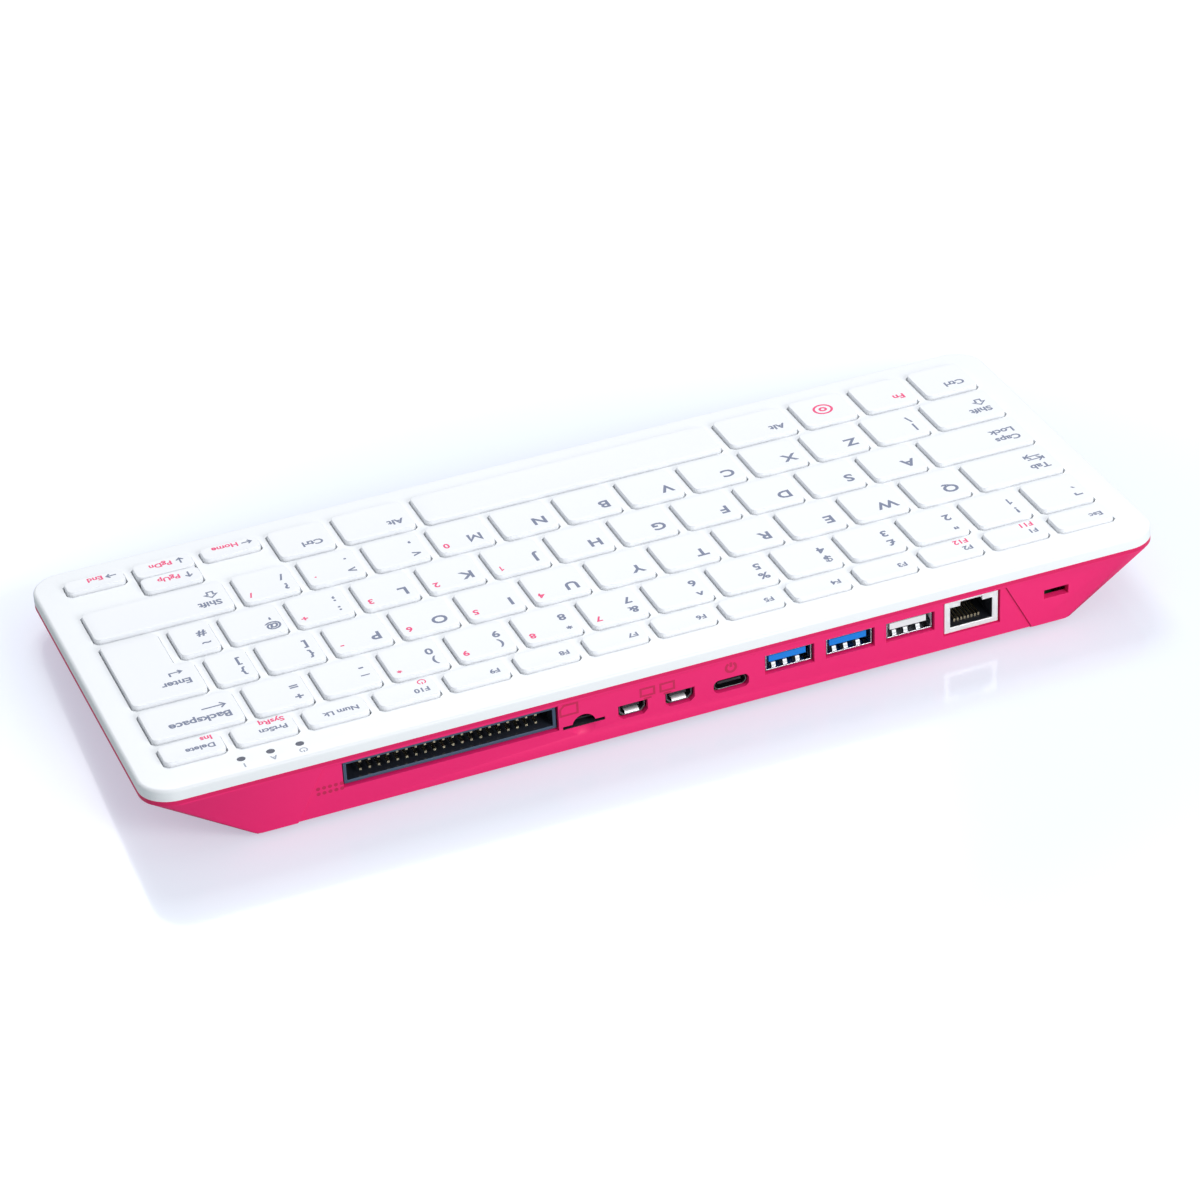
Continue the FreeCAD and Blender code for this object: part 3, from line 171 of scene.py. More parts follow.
room = bpy.data.worlds.new("pale_room")
bpy.context.scene.world = room
tree, output = make_nodes(room, "OutputWorld")
rays = add_node(tree, "LightPath")
fill = add_node(tree, "Background", {"Color": (0.9, 0.94, 1.0, 1.0), "Strength": 0.53})
white = add_node(tree, "Background", {"Color": (1.0, 1.0, 1.0, 1.0), "Strength": 1.0})
seen = add_node(tree, "Math", operation="MAXIMUM")
through = add_node(tree, "Math", operation="MAXIMUM")
pick = add_node(tree, "MixShader")
link_nodes(
    tree,
    (rays, "Is Camera Ray", seen, 0),
    (rays, "Is Glossy Ray", seen, 1),
    (seen, 0, through, 0),
    (rays, "Is Transmission Ray", through, 1),
    (through, 0, pick, "Fac"),
    (fill, 0, pick, 1),
    (white, 0, pick, 2),
    (pick, 0, output, "Surface"),
)


# The moulded plastics share one surface: a fine spark-eroded grain with slow, faint
# changes of shade and gloss. The group gives the shade, the gloss and the height.
def new_group(name, inputs, outputs):
    """A node group. Each input has a kind and a value or None, and each output a kind."""
    group = bpy.data.node_groups.new(name, "ShaderNodeTree")
    for label, (kind, value) in inputs.items():
        kind = "NodeSocket" + kind
        socket = group.interface.new_socket(name=label, in_out="INPUT", socket_type=kind)
        if value is not None:
            socket.default_value = value
    for label, kind in outputs.items():
        kind = "NodeSocket" + kind
        group.interface.new_socket(name=label, in_out="OUTPUT", socket_type=kind)
    return group, group.nodes.new("NodeGroupInput"), group.nodes.new("NodeGroupOutput")


def swing(tree, source, amount, level=None):
    """Nodes for 1 + (source - 0.5) x amount, or with a level in place of the 1."""
    centred = add_node(tree, "Math", {1: 0.5}, operation="SUBTRACT")
    swung = add_node(tree, "Math", {2: 1.0}, operation="MULTIPLY_ADD")
    tree.links.new(source, centred.inputs[0])
    tree.links.new(centred.outputs[0], swung.inputs[0])
    tree.links.new(amount, swung.inputs[1])
    if level:
        tree.links.new(level, swung.inputs[2])
    return swung.outputs[0]


def vary_surface(group, start, end, noise):
    """Shade = colour x (1 +- drift x noise); gloss = level +- gloss drift x noise."""
    shade = add_node(group, "VectorMath", operation="SCALE")
    share = swing(group, noise, start.outputs["Drift"])
    gloss = swing(group, noise, start.outputs["Gloss Drift"], start.outputs["Gloss"])
    group.links.new(start.outputs["Colour"], shade.inputs[0])
    group.links.new(share, shade.inputs["Scale"])
    group.links.new(shade.outputs[0], end.inputs["Shade"])
    group.links.new(gloss, end.inputs["Roughness"])


SURFACE_OUTPUTS = {"Shade": "Color", "Roughness": "Float", "Height": "Float"}


def make_grain_group():
    """The shade and gloss vary with slow noise. The height is fine noise, about a tenth
    of a millimetre across at scale 9000."""
    group, start, end = new_group(
        "moulded_grain",
        {
            "Vector": ("Vector", None),
            "Colour": ("Color", (0.8, 0.8, 0.8, 1.0)),
            "Grain Scale": ("Float", 9000.0),
            "Drift": ("Float", 0.03),
            "Gloss": ("Float", 0.45),
            "Gloss Drift": ("Float", 0.1),
        },
        SURFACE_OUTPUTS,
    )
    slow = add_node(group, "TexNoise", {"Scale": 45.0, "Detail": 3.0})
    fine = add_node(group, "TexNoise", {"Detail": 2.0, "Roughness": 0.6})
    link_nodes(
        group,
        (start, "Vector", slow, "Vector"),
        (start, "Vector", fine, "Vector"),
        (start, "Grain Scale", fine, "Scale"),
        (fine, "Fac", end, "Height"),
    )
    vary_surface(group, start, end, slow.outputs["Fac"])
    return group


grain_group = make_grain_group()


def surface_material(name, group, values, depth, shader):
    """A material whose shade, gloss and bump come from a group with the given values.
    The bump is depth metres deep, and shader holds the Principled shader's own values."""
    material = bpy.data.materials.new(name)
    tree, output = make_nodes(material)
    place = add_node(tree, "TexCoord")
    surface = add_node(tree, "Group", values, node_tree=group)
    bump = add_node(tree, "Bump", {"Distance": depth})
    body = add_node(tree, "BsdfPrincipled", shader)
    link_nodes(
        tree,
        (place, "Object", surface, "Vector"),
        (surface, "Shade", body, "Base Color"),
        (surface, "Roughness", body, "Roughness"),
        (surface, "Height", bump, "Height"),
        (bump, "Normal", body, "Normal"),
        (body, 0, output, "Surface"),
    )
    return material


def moulded_plastic(name, colour, gloss=0.45, grain=9000.0, depth=0.00001, specular=0.5):
    """A plastic whose grain is a bump of the given depth in metres."""
    values = {"Colour": (*colour, 1.0), "Grain Scale": grain, "Gloss": gloss}
    return surface_material(name, grain_group, values, depth, {"Specular IOR Level": specular})


# The tub is injection-moulded in strong pink. It carries the board and the sockets,
# and its rim shows as a thin line under the white lid, painted a darker pink as shade
# under the lid's edge. The panel with the ports is set in its rear wall.
MM = 0.001
WELD_DISTANCE = 0.002
FLAT_ANGLE = math.radians(35.0)
SAME_FACE_ANGLE = math.radians(0.5)


def rounded_copy(node, edge, material):
    """Takes a solid from the frame, joins its loose triangles into whole faces and
    rounds every edge sharper than FLAT_ANGLE by the given radius in mm."""
    shell = bmesh.new()
    shell.from_mesh(frame["nodes"][node].data)
    bmesh.ops.remove_doubles(shell, verts=shell.verts, dist=WELD_DISTANCE * MM)
    bmesh.ops.dissolve_limit(
        shell, angle_limit=SAME_FACE_ANGLE, verts=shell.verts, edges=shell.edges
    )
    mesh = bpy.data.meshes.new(node + "_moulding")
    shell.to_mesh(mesh)
    shell.free()
    mesh.shade_smooth()
    mesh.set_sharp_from_angle(angle=FLAT_ANGLE)
    mesh.materials.append(material)
    piece = add_object(node + "_moulding", mesh)
    rounding = piece.modifiers.new("edge_rounding", "BEVEL")
    rounding.width = edge * MM
    rounding.segments = 2
    rounding.limit_method = "ANGLE"
    rounding.angle_limit = FLAT_ANGLE
    rounding.harden_normals = True
    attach(piece, "case")
    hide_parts(node)


# Every band made here is painted light or shade: shade under the lid, a highlight on the shroud's
# rim and shade at the roots of the USB tongues.
def add_band(material, way, start, end, colour):
    """Turns a material's shade into another colour from start to end, in mm, along a
    way: the place's dot product with the way, put on a ramp from 0 to 1."""
    tree = material.node_tree
    found = {node.type: node for node in tree.nodes}
    along = add_node(tree, "VectorMath", {1: way}, operation="DOT_PRODUCT")
    ramp = add_node(tree, "MapRange", {"From Min": start * MM, "From Max": end * MM})
    shade = add_node(tree, "Mix", {"B": (*colour, 1.0)}, data_type="RGBA")
    link_nodes(
        tree,
        (found["TEX_COORD"], "Object", along, 0),
        (along, "Value", ramp, "Value"),
        (ramp, "Result", shade, "Factor"),
        (found["GROUP"], "Shade", shade, "A"),
        (shade, "Result", found["BSDF_PRINCIPLED"], "Base Color"),
    )


# The strip just under the seam is painted a darker pink: painted shade under the lid.
TUB_PINK = (0.89, 0.018, 0.17)
LID_SHADE_PINK = (0.72, 0.008, 0.115)
SEAM_HEIGHT = 13.76
LID_SHADE_DEPTH = 1.15
LID_SHADE_BLUR = 0.15
press_way = Vector(frame["joints"][0]["axis"])
DECK_TILT = math.atan2(press_way.y, -press_way.z)
pink_plastic = moulded_plastic("pink_tub_plastic", TUB_PINK, gloss=0.42, specular=0.35)
off_seam = (0.0, -math.sin(DECK_TILT), math.cos(DECK_TILT))
lid_shade_foot = SEAM_HEIGHT - LID_SHADE_DEPTH
add_band(pink_plastic, off_seam, lid_shade_foot - LID_SHADE_BLUR, lid_shade_foot + LID_SHADE_BLUR, LID_SHADE_PINK)
rounded_copy("base_case", 0.25, pink_plastic)
rounded_copy("port_panel", 0.15, pink_plastic)


# Four rubber pads are glued under the legs.
soft_rubber = moulded_plastic(
    "pink_foot_rubber", (0.55, 0.02, 0.12), gloss=0.75, grain=5000.0, depth=0.00003
)
rounded_copy("rubber_feet", 0.25, soft_rubber)


# The deck is a white moulding with rounded edges, clipped onto the tub; each key
# stands in its own window.
white_plastic = moulded_plastic("white_deck_plastic", (0.88, 0.9, 0.92), gloss=0.4)
rounded_copy("top_case", 0.22, white_plastic)


# The caps are moulded in white with a shallow dish and rounded edges. Each is hollow,
# and is printed with its legend.
def cad_triangles(node):
    """A solid's triangles as an array of (triangle, corner, xyz), in metres."""
    mesh = frame["nodes"][node].data
    corners = np.empty(len(mesh.vertices) * 3)
    mesh.vertices.foreach_get("co", corners)
    order = np.empty(len(mesh.loops), dtype=np.int32)
    mesh.loops.foreach_get("vertex_index", order)
    return corners.reshape(-1, 3)[order.reshape(-1, 3)]


def across_deck(points):
    """Turns points in metres into the sloping deck's own frame, in mm: X along the
    keys, Y up the slope to the rear, Z off the deck."""
    x, y, z = np.moveaxis(np.asarray(points, dtype=float) / MM, -1, 0)
    along = y * math.cos(DECK_TILT) + z * math.sin(DECK_TILT)
    above = z * math.cos(DECK_TILT) - y * math.sin(DECK_TILT)
    return np.stack([x, along, above], axis=-1)


lid_corners = across_deck(cad_triangles("top_case")).reshape(-1, 3)
deck_rear = lid_corners[:, 1].max()
deck_top = lid_corners[:, 2].max()


def on_deck(points):
    """The other way: from mm on the deck, with Y from its rear edge and Z from its
    top face, to metres in the frame."""
    x, along, above = np.moveaxis(np.asarray(points, dtype=float), -1, 0)
    along = along + deck_rear
    above = above + deck_top
    y = along * math.cos(DECK_TILT) - above * math.sin(DECK_TILT)
    z = along * math.sin(DECK_TILT) + above * math.cos(DECK_TILT)
    return np.stack([x, y, z], axis=-1) * MM


LEAST_CAP_GAP = 0.5


def cap_corners(node):
    """Each cap of a node as (left, right, front, rear) in mm on the deck, from the
    user's left: runs of triangles that overlap along X belong to one cap."""
    triangles = across_deck(cad_triangles(node))
    low, high = triangles[:, :, 0].min(axis=1), triangles[:, :, 0].max(axis=1)
    order = np.argsort(low)
    reach = np.maximum.accumulate(high[order])
    first = np.flatnonzero(low[order][1:] > reach[:-1] + LEAST_CAP_GAP) + 1
    caps = []
    for run in np.split(order, first):
        cap = triangles[run].reshape(-1, 3)
        left, front = cap[:, 0].min(), cap[:, 1].min() - deck_rear
        right, rear = cap[:, 0].max(), cap[:, 1].max() - deck_rear
        caps.append((left, right, front, rear))
    return caps


# A cap's sizes in mm, with its top above the deck's top face, then its counts of points
# and the places of its rings as shares of the way from its middle.
CAP_TOP = 1.2
CAP_DEPTH = 2.7
CAP_RADIUS = 1.9
CAP_LEAST_RADIUS = 0.15
CAP_INNER_RADIUS = 1.14
CAP_FLARE = 0.12
CAP_EDGE = 0.22
CAP_FOOT_EDGE = 0.1
CAP_DISH = 0.1
CAP_WALL = 0.9
CAP_DRAFT = 0.1
CAP_ROOF = 1.0
CORNER_STEPS = 6
SIDE_STEPS = 5
EDGE_RINGS = 5
DISH_RINGS = (0.2, 0.45, 0.7, 0.88)
ROOF_RING = 0.3


def cap_ring(outline, inset):
    """A closed ring inside a square-cornered outline. With the corner P and its two
    inward normals m and n, the corner's arc is C - r (m cos t + n sin t), where
    C = P + (inset + r)(m + n), r = radius - inset, and t runs from 0 to 90 degrees;
    an inner corner bends the other way. Each side is divided evenly between arcs."""
    corners = np.asarray(outline, dtype=float)
    before, after = np.roll(corners, 1, axis=0), np.roll(corners, -1, axis=0)
    into = (corners - before) / np.linalg.norm(corners - before, axis=1)[:, None]
    away = (after - corners) / np.linalg.norm(after - corners, axis=1)[:, None]
    m = np.stack([-into[:, 1], into[:, 0]], axis=1)
    n = np.stack([-away[:, 1], away[:, 0]], axis=1)
    outward = (into[:, 0] * away[:, 1] - into[:, 1] * away[:, 0])[:, None]
    outer_radius = max(CAP_RADIUS - inset, CAP_LEAST_RADIUS)
    radius = np.where(outward > 0, outer_radius, CAP_INNER_RADIUS + inset)
    middle = corners + (m + n) * (inset + radius * outward)
    t = np.linspace(0.0, math.pi / 2, CORNER_STEPS)[None, :, None]
    arcs = middle[:, None] - (radius * outward)[:, None] * (
        m[:, None] * np.cos(t) + n[:, None] * np.sin(t)
    )
    steps = np.linspace(0.0, 1.0, SIDE_STEPS + 1)[None, 1:-1, None]
    sides = arcs[:, -1:] + (np.roll(arcs, -1, axis=0)[:, :1] - arcs[:, -1:]) * steps
    return np.concatenate([arcs, sides], axis=1).reshape(-1, 2)


def dish(points, left, right, front, rear):
    """How far the top lies below its rim: depth x (1 - u^2)(1 - v^2), where u and v
    run from -1 to 1 over the cap's width and depth."""
    u = np.clip((points[..., 0] * 2 - left - right) / (right - left), -1, 1)
    v = np.clip((points[..., 1] * 2 - front - rear) / (rear - front), -1, 1)
    return CAP_DISH * (1 - u**2) * (1 - v**2)


def cap_skin(outline, middle):
    """The cap as rings, from the middle of its top over the rounded edge, down the
    wall, under the skirt and up inside to the middle of the roof."""
    xs, ys = zip(*outline)
    limits = (min(xs), max(xs), min(ys), max(ys))
    rings = []
    rim = cap_ring(outline, CAP_FLARE + CAP_EDGE)
    for share in DISH_RINGS:
        ring = middle + (rim - middle) * share
        rings.append((ring, CAP_TOP - dish(ring, *limits)))
    for angle in np.linspace(0.0, math.pi / 2, EDGE_RINGS):
        ring = cap_ring(outline, CAP_FLARE + CAP_EDGE * (1 - math.sin(angle)))
        drop = CAP_EDGE * (1 - math.cos(angle))
        rings.append((ring, CAP_TOP - drop - dish(ring, *limits)))
    low = CAP_TOP - CAP_DEPTH
    rings.append((cap_ring(outline, 0.0), low + CAP_FOOT_EDGE))
    rings.append((cap_ring(outline, CAP_FOOT_EDGE), low))
    rings.append((cap_ring(outline, CAP_WALL), low))
    roof = cap_ring(outline, CAP_WALL + CAP_DRAFT)
    rings.append((roof, CAP_TOP - CAP_ROOF))
    rings.append((middle + (roof - middle) * ROOF_RING, CAP_TOP - CAP_ROOF))
    heights = [np.broadcast_to(height, len(ring)) for ring, height in rings]
    return np.stack([np.column_stack([r, h]) for (r, _), h in zip(rings, heights)])


def add_skins(name, skins, material, body, node=None):
    """Puts skins of rings, arrays of (ring, point, xyz), into one closed mesh; the
    first and last ring of each are filled."""
    points, faces = [], []
    for skin in skins:
        first = sum(len(p) for p in points)
        count, around = skin.shape[:2]
        index = first + np.arange(count * around).reshape(count, around)
        following = np.roll(index, -1, axis=1)
        sides = np.stack([index[:-1], index[1:], following[1:], following[:-1]], axis=-1)
        faces += sides.reshape(-1, 4).tolist()
        faces.append(index[0].tolist())
        faces.append(index[-1, ::-1].tolist())
        points.append(skin.reshape(-1, 3))
    mesh = bpy.data.meshes.new(name)
    mesh.from_pydata(np.concatenate(points).tolist(), [], faces)
    mesh.shade_smooth()
    mesh.set_sharp_from_angle(angle=math.radians(40))
    mesh.materials.append(material)
    piece = add_object(name, mesh)
    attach(piece, body)
    if node:
        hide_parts(node)


FRONT_DEPTH = 3.0
LEAST_STEP = 0.6


def enter_outline(node):
    """The enter cap's stepped outline and a point from which all of it is seen. The
    left side is read in the cap's front; the step is where more lies beside it."""
    (left, right, front, rear), = cap_corners(node)
    cap = across_deck(cad_triangles(node)).reshape(-1, 3)
    cap[:, 1] -= deck_rear
    low_left = cap[cap[:, 1] < front + FRONT_DEPTH][:, 0].min()
    beside = cap[cap[:, 0] < low_left - LEAST_STEP]
    step = beside[:, 1].min()
    corners = [(low_left, front), (right, front), (right, rear), (left, rear)]
    corners += [(left, step), (low_left, step)]
    return corners, ((low_left + right) / 2, (step + rear) / 2)


cap_plastic = moulded_plastic("white_cap_plastic", (0.87, 0.885, 0.91), gloss=0.48, grain=14000.0)
key_nodes = [node for node in frame["nodes"] if "_key" in node and node != "key_plate"]
cap_limits = {}
for node in key_nodes:
    cap_limits[node] = cap_corners(node)
    skins = []
    for left, right, front, rear in cap_limits[node]:
        outline = [(left, front), (right, front), (right, rear), (left, rear)]
        middle = ((left + right) / 2, (front + rear) / 2)
        if node == "enter_key":
            outline, middle = enter_outline(node)
        skins.append(on_deck(cap_skin(outline, np.array(middle))))
    add_skins(node + "_caps", skins, cap_plastic, node, node)


# The legends are printed on the caps in blue-grey, with the second functions in pink.
# The ink stands 0.02 mm proud.
INK_LIFT = 0.02
BOLDNESS = 0.03
LINE_WIDTH = 0.5
# How each kind of line is set, in mm: size, anchor, whether it is pink, the side that
# it is measured from, how far in it starts and how far down its foot lies.
STYLES = {
    "letter": (5.5, "LEFT", False, "left", 2.3, 6.8),
    "upper": (4.3, "CENTER", False, "left", 3.2, 5.4),
    "lower": (4.3, "CENTER", False, "left", 3.2, 10.7),
    "pad": (3.5, "CENTER", True, "right", 2.6, 4.8),
    "word": (3.7, "LEFT", False, "left", 2.6, 5.9),
    "second_word": (3.7, "LEFT", False, "left", 2.6, 10.4),
    "enter_word": (3.7, "LEFT", False, "left", 2.7, 7.8),
    "long_word": (4.1, "LEFT", False, "left", 2.6, 6.0),
    "small": (2.9, "LEFT", False, "left", 2.2, 4.6),
    "small_pink": (2.9, "LEFT", True, "left", 2.0, 8.3),
    "shift_pink": (3.7, "LEFT", True, "left", 2.6, 5.9),
    "arrow_pink": (3.0, "LEFT", True, "left", 5.7, 5.6),
}
legend_ink = moulded_plastic("grey_legend_ink", (0.17, 0.2, 0.3), gloss=0.6, depth=0.000004)
pink_ink = moulded_plastic("pink_legend_ink", (0.85, 0.06, 0.2), gloss=0.6, depth=0.000004)


def text_shape(text, size, anchor):
    """A line of bold text as flat points in mm and faces."""
    curve = bpy.data.curves.new("line_of_print", "FONT")
    curve.body = text
    curve.size = size
    curve.align_x = anchor
    curve.offset = BOLDNESS * size
    curve.resolution_u = 3
    line = add_object("line_of_print", curve)
    bpy.context.view_layer.update()
    flat = bpy.data.meshes.new_from_object(
        line.evaluated_get(bpy.context.evaluated_depsgraph_get())
    )
    spots = np.empty(len(flat.vertices) * 3)
    flat.vertices.foreach_get("co", spots)
    faces = [tuple(face.vertices) for face in flat.polygons]
    bpy.data.objects.remove(line)
    bpy.data.meshes.remove(flat)
    bpy.data.curves.remove(curve)
    return spots.reshape(-1, 3)[:, :2], faces


def stroke_shape(path, width, closed=False):
    """A band of even width along a path, in mm. At a corner between the unit steps a
    and b, its edges lie at +- width / 2 x n / (n . a'), where n is the unit of a' + b'
    and a', b' are the steps turned to the left."""
    path = np.asarray(path, dtype=float)
    after = np.roll(path, -1, axis=0) - path
    if not closed:
        after[-1] = after[-2]
    after /= np.linalg.norm(after, axis=1)[:, None]
    before = np.roll(after, 1, axis=0)
    if not closed:
        before[0] = after[0]
    left = np.stack([-after[:, 1], after[:, 0]], axis=1)
    normal = left + np.stack([-before[:, 1], before[:, 0]], axis=1)
    normal /= np.linalg.norm(normal, axis=1)[:, None]
    reach = width / 2 / np.maximum((normal * left).sum(axis=1), 0.5)
    offset = normal * reach[:, None]
    count = len(path)
    start = np.arange(count if closed else count - 1)
    end = (start + 1) % count
    faces = np.stack([count + start, count + end, end, start], axis=1)
    return np.concatenate([path + offset, path - offset]), faces.tolist()


def join_shapes(shapes):
    """Puts flat shapes, each of points and faces, into one."""
    points, faces = [], []
    for spots, polygons in shapes:
        first = sum(len(p) for p in points)
        points.append(np.asarray(spots, dtype=float))
        faces += [tuple(first + corner for corner in face) for face in polygons]
    return np.concatenate(points), faces


def arrow_shape(length, turn=0.0):
    """An arrow of the given length round the origin, turned in degrees from the right."""
    tip, barb = length / 2, min(length * 0.35, 1.3)
    shaft = stroke_shape([(-tip, 0), (tip, 0)], LINE_WIDTH)
    head = stroke_shape([(tip - barb, barb), (tip, 0), (tip - barb, -barb)], LINE_WIDTH)
    spots, faces = join_shapes([shaft, head])
    angle = math.radians(turn)
    spin = np.array([[math.cos(angle), math.sin(angle)], [-math.sin(angle), math.cos(angle)]])
    return spots @ spin, faces


def ring_shape(radius, width, start=0.0, end=360.0, steps=24):
    """A ring, or an arc of one, round the origin."""
    closed = end - start >= 360.0
    angle = np.radians(np.linspace(start, end, steps, endpoint=not closed))
    path = np.stack([np.cos(angle), np.sin(angle)], axis=1) * radius
    return stroke_shape(path, width, closed)


def power_shape(radius, width):
    """An open ring with a bar through its gap."""
    bar = stroke_shape([(0, radius * 0.1), (0, radius * 1.15)], width)
    return join_shapes([ring_shape(radius, width, 120.0, 420.0), bar])


SHIFT_PATH = [(-1.7, 0), (0, 1.6), (1.7, 0), (0.8, 0), (0.8, -1.5), (-0.8, -1.5), (-0.8, 0)]
enter_hook = stroke_shape([(1.7, 1.2), (1.7, -0.5), (-1.5, -0.5)], LINE_WIDTH)
enter_tip = stroke_shape([(-0.7, 0.4), (-1.7, -0.5), (-0.7, -1.4)], LINE_WIDTH)
tab_pair = [
    (arrow_shape(4.4, 180.0), 0.9),
    (stroke_shape([(-2.5, -0.9), (-2.5, 0.9)], LINE_WIDTH), 0.9),
    (arrow_shape(4.4), -0.9),
    (stroke_shape([(2.5, -0.9), (2.5, 0.9)], LINE_WIDTH), -0.9),
]
SYMBOLS = {
    "long_arrow": arrow_shape(6.4, 180.0),
    "return": join_shapes([enter_hook, enter_tip]),
    "shift": stroke_shape(SHIFT_PATH, LINE_WIDTH, True),
    "tab": join_shapes([(spots + (0, up), faces) for (spots, faces), up in tab_pair]),
    "left": arrow_shape(2.8, 180.0),
    "right": arrow_shape(2.8),
    "up": arrow_shape(2.8, 90.0),
    "down": arrow_shape(2.8, -90.0),
    "power": power_shape(1.05, 0.34),
    "ring": join_shapes([ring_shape(2.6, 0.7), ring_shape(0.9, 0.7, steps=16)]),
}
# Each key's symbol, whether it is pink, and how far its middle lies right and forward
# of the cap's rear left corner, in mm.
cap_symbols = {
    "backspace_key": ("long_arrow", False, 6.3, 9.5),
    "enter_key": ("return", False, 5.8, 11.5),
    "tab_key": ("tab", False, 5.1, 9.8),
    **{f"shift_{side}_key": ("shift", False, 4.5, 9.3) for side in ("left", "right")},
    **{f"arrow_{way}_key": (way, False, 3.4, 4.4) for way in ("left", "right", "up", "down")},
    "power_key": ("power", True, 3.2, 7.4),
    "system_key": ("ring", True, 8.0, 8.1),
}


def letter(text, pad=""):
    """One letter, with its mark on the number pad."""
    return [("letter", text)] + ([("pad", pad)] if pad else [])


def pair(text, pad=""):
    """Two symbols, one above the other."""
    marks = [("upper", text[0]), ("lower", text[1])]
    return marks + ([("pad", pad)] if pad else [])


legends = {
    "number_keys": [
        *(pair(text) for text in ("¬`", "!1", '"2', "£3", "$4", "%5", "^6")),
        *(pair(text, pad) for text, pad in (("&7", "7"), ("*8", "8"), ("(9", "9"), (")0", "*"))),
        *(pair(text) for text in ("_-", "+=")),
    ],
    "upper_letter_keys": [
        *(letter(text) for text in "QWERTY"),
        *(letter(text, pad) for text, pad in zip("UIOP", "456-")),
        pair("{["),
    ],
    "home_letter_keys": [
        *(letter(text) for text in "ASDFGH"),
        *(letter(text, pad) for text, pad in zip("JKL", "123")),
        pair(":;", "+"),
        pair("@'"),
    ],
    "lower_letter_keys": [
        pair("|\\"),
        *(letter(text) for text in "ZXCVBN"),
        letter("M", "0"),
        pair("<,"),
        pair(">.", "."),
        pair("?/", "/"),
    ],
    "bracket_key": [pair("}]")],
    "hash_key": [pair("~#")],
    "enter_key": [[("enter_word", "Enter")]],
    "backspace_key": [[("long_word", "Backspace")]],
    "tab_key": [[("word", "Tab")]],
    "caps_lock_key": [[("word", "Caps"), ("second_word", "Lock")]],
    **{
        f"{name}_{side}_key": [[("word", word)]]
        for name, word in (("shift", "Shift"), ("control", "Ctrl"), ("alt", "Alt"))
        for side in ("left", "right")
    },
    "function_shift_key": [[("shift_pink", "Fn")]],
    "escape_key": [[("small", "Esc")]],
    "number_lock_key": [[("small", "Num Lk")]],
    "function_keys": [
        [("small", "F1"), ("small_pink", "F11")],
        [("small", "F2"), ("small_pink", "F12")],
        *([("small", f"F{number}")] for number in range(3, 10)),
    ],
    "power_key": [[("small", "F10")]],
    "print_key": [[("small", "PrtScn"), ("small_pink", "SysRq")]],
    "delete_key": [[("small", "Delete"), ("small_pink", "Ins")]],
    "arrow_left_key": [[("arrow_pink", "Home")]],
    "arrow_right_key": [[("arrow_pink", "End")]],
    "arrow_up_key": [[("arrow_pink", "PgUp")]],
    "arrow_down_key": [[("arrow_pink", "PgDn")]],
}


def on_cap(shape, x, y, limits):
    """Lays a flat shape on a cap's dished top."""
    spots, faces = shape
    spots = spots + (x, y)
    height = CAP_TOP + INK_LIFT - dish(spots, *limits)
    return on_deck(np.column_stack([spots, height])), faces


def add_print(name, shapes, material, body):
    """Joins shapes in metres into one piece that rides with a body."""
    points, faces = join_shapes(shapes)
    mesh = bpy.data.meshes.new(name)
    mesh.from_pydata(points.tolist(), [], faces)
    mesh.materials.append(material)
    piece = add_object(name, mesh)
    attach(piece, body)


# Shapes drawn in strokes, in shares of the size of print.
M_PATH = [(0.15, 0.0), (0.15, 0.66), (0.44, 0.2), (0.73, 0.66), (0.73, 0.0)]
ONE_PATH = [(-0.14, 0.5), (0.05, 0.66), (0.05, 0.0)]
STAR_ANGLES = (90.0, 30.0, 150.0)
STAR_ARM = 0.2
STAR_HEIGHT = 0.5


def glyph_shape(text, size, anchor):
    """A line of print. The M, the star and a lone 1 are drawn in strokes: narrow corners
    close up when an outline is thickened, and the typeface's 1 is a plain bar."""
    if text == "M":
        return stroke_shape(np.array(M_PATH) * size, 0.15 * size)
    if text == "1":
        return stroke_shape(np.array(ONE_PATH) * size, 0.12 * size)
    if text == "*":
        bars = []
        for angle in np.radians(STAR_ANGLES):
            arm = np.array([math.cos(angle), math.sin(angle)]) * STAR_ARM
            bar = (np.array([arm, -arm]) + (0.0, STAR_HEIGHT)) * size
            bars.append(stroke_shape(bar, 0.1 * size))
        return join_shapes(bars)
    return text_shape(text, size, anchor)


for node in key_nodes:
    prints = {False: [], True: []}
    for limits, marks in zip(cap_limits[node], legends.get(node, [[]])):
        for style, text in marks:
            size, anchor, is_pink, side, inward, down = STYLES[style]
            x = limits[0] + inward if side == "left" else limits[1] - inward
            shape = on_cap(glyph_shape(text, size, anchor), x, limits[3] - down, limits)
            prints[is_pink].append(shape)
    if node in cap_symbols:
        symbol, is_pink, inward, down = cap_symbols[node]
        x, y = limits[0] + inward, limits[3] - down
        prints[is_pink].append(on_cap(SYMBOLS[symbol], x, y, limits))
    if prints[False]:
        add_print(node + "_legends", prints[False], legend_ink, node)
    if prints[True]:
        add_print(node + "_pink_legends", prints[True], pink_ink, node)


# Three smoked lenses show the lights. Behind each, a small grey mark is printed on the
# deck: power, capitals and numbers.
def finish_node(node, material):
    """Gives a solid from the frame its finish; its shape stays as it is."""
    for holder in frame["nodes"][node].material_slots:
        holder.material = material


light_glass = bpy.data.materials.new("smoked_light_lens")
tree, output = make_nodes(light_glass)
place = add_node(tree, "TexCoord")
cloud = add_node(tree, "TexNoise", {"Scale": 1500.0})
smoke = {"A": (0.03, 0.04, 0.08, 1.0), "B": (0.09, 0.1, 0.15, 1.0)}
shade = add_node(tree, "Mix", smoke, data_type="RGBA")
lens = add_node(tree, "BsdfPrincipled", {"Roughness": 0.12, "Coat Weight": 0.5})
link_nodes(
    tree,
    (place, "Object", cloud, "Vector"),
    (cloud, "Fac", shade, "Factor"),
    (shade, "Result", lens, "Base Color"),
    (lens, 0, output, "Surface"),
)
finish_node("light_pipes", light_glass)

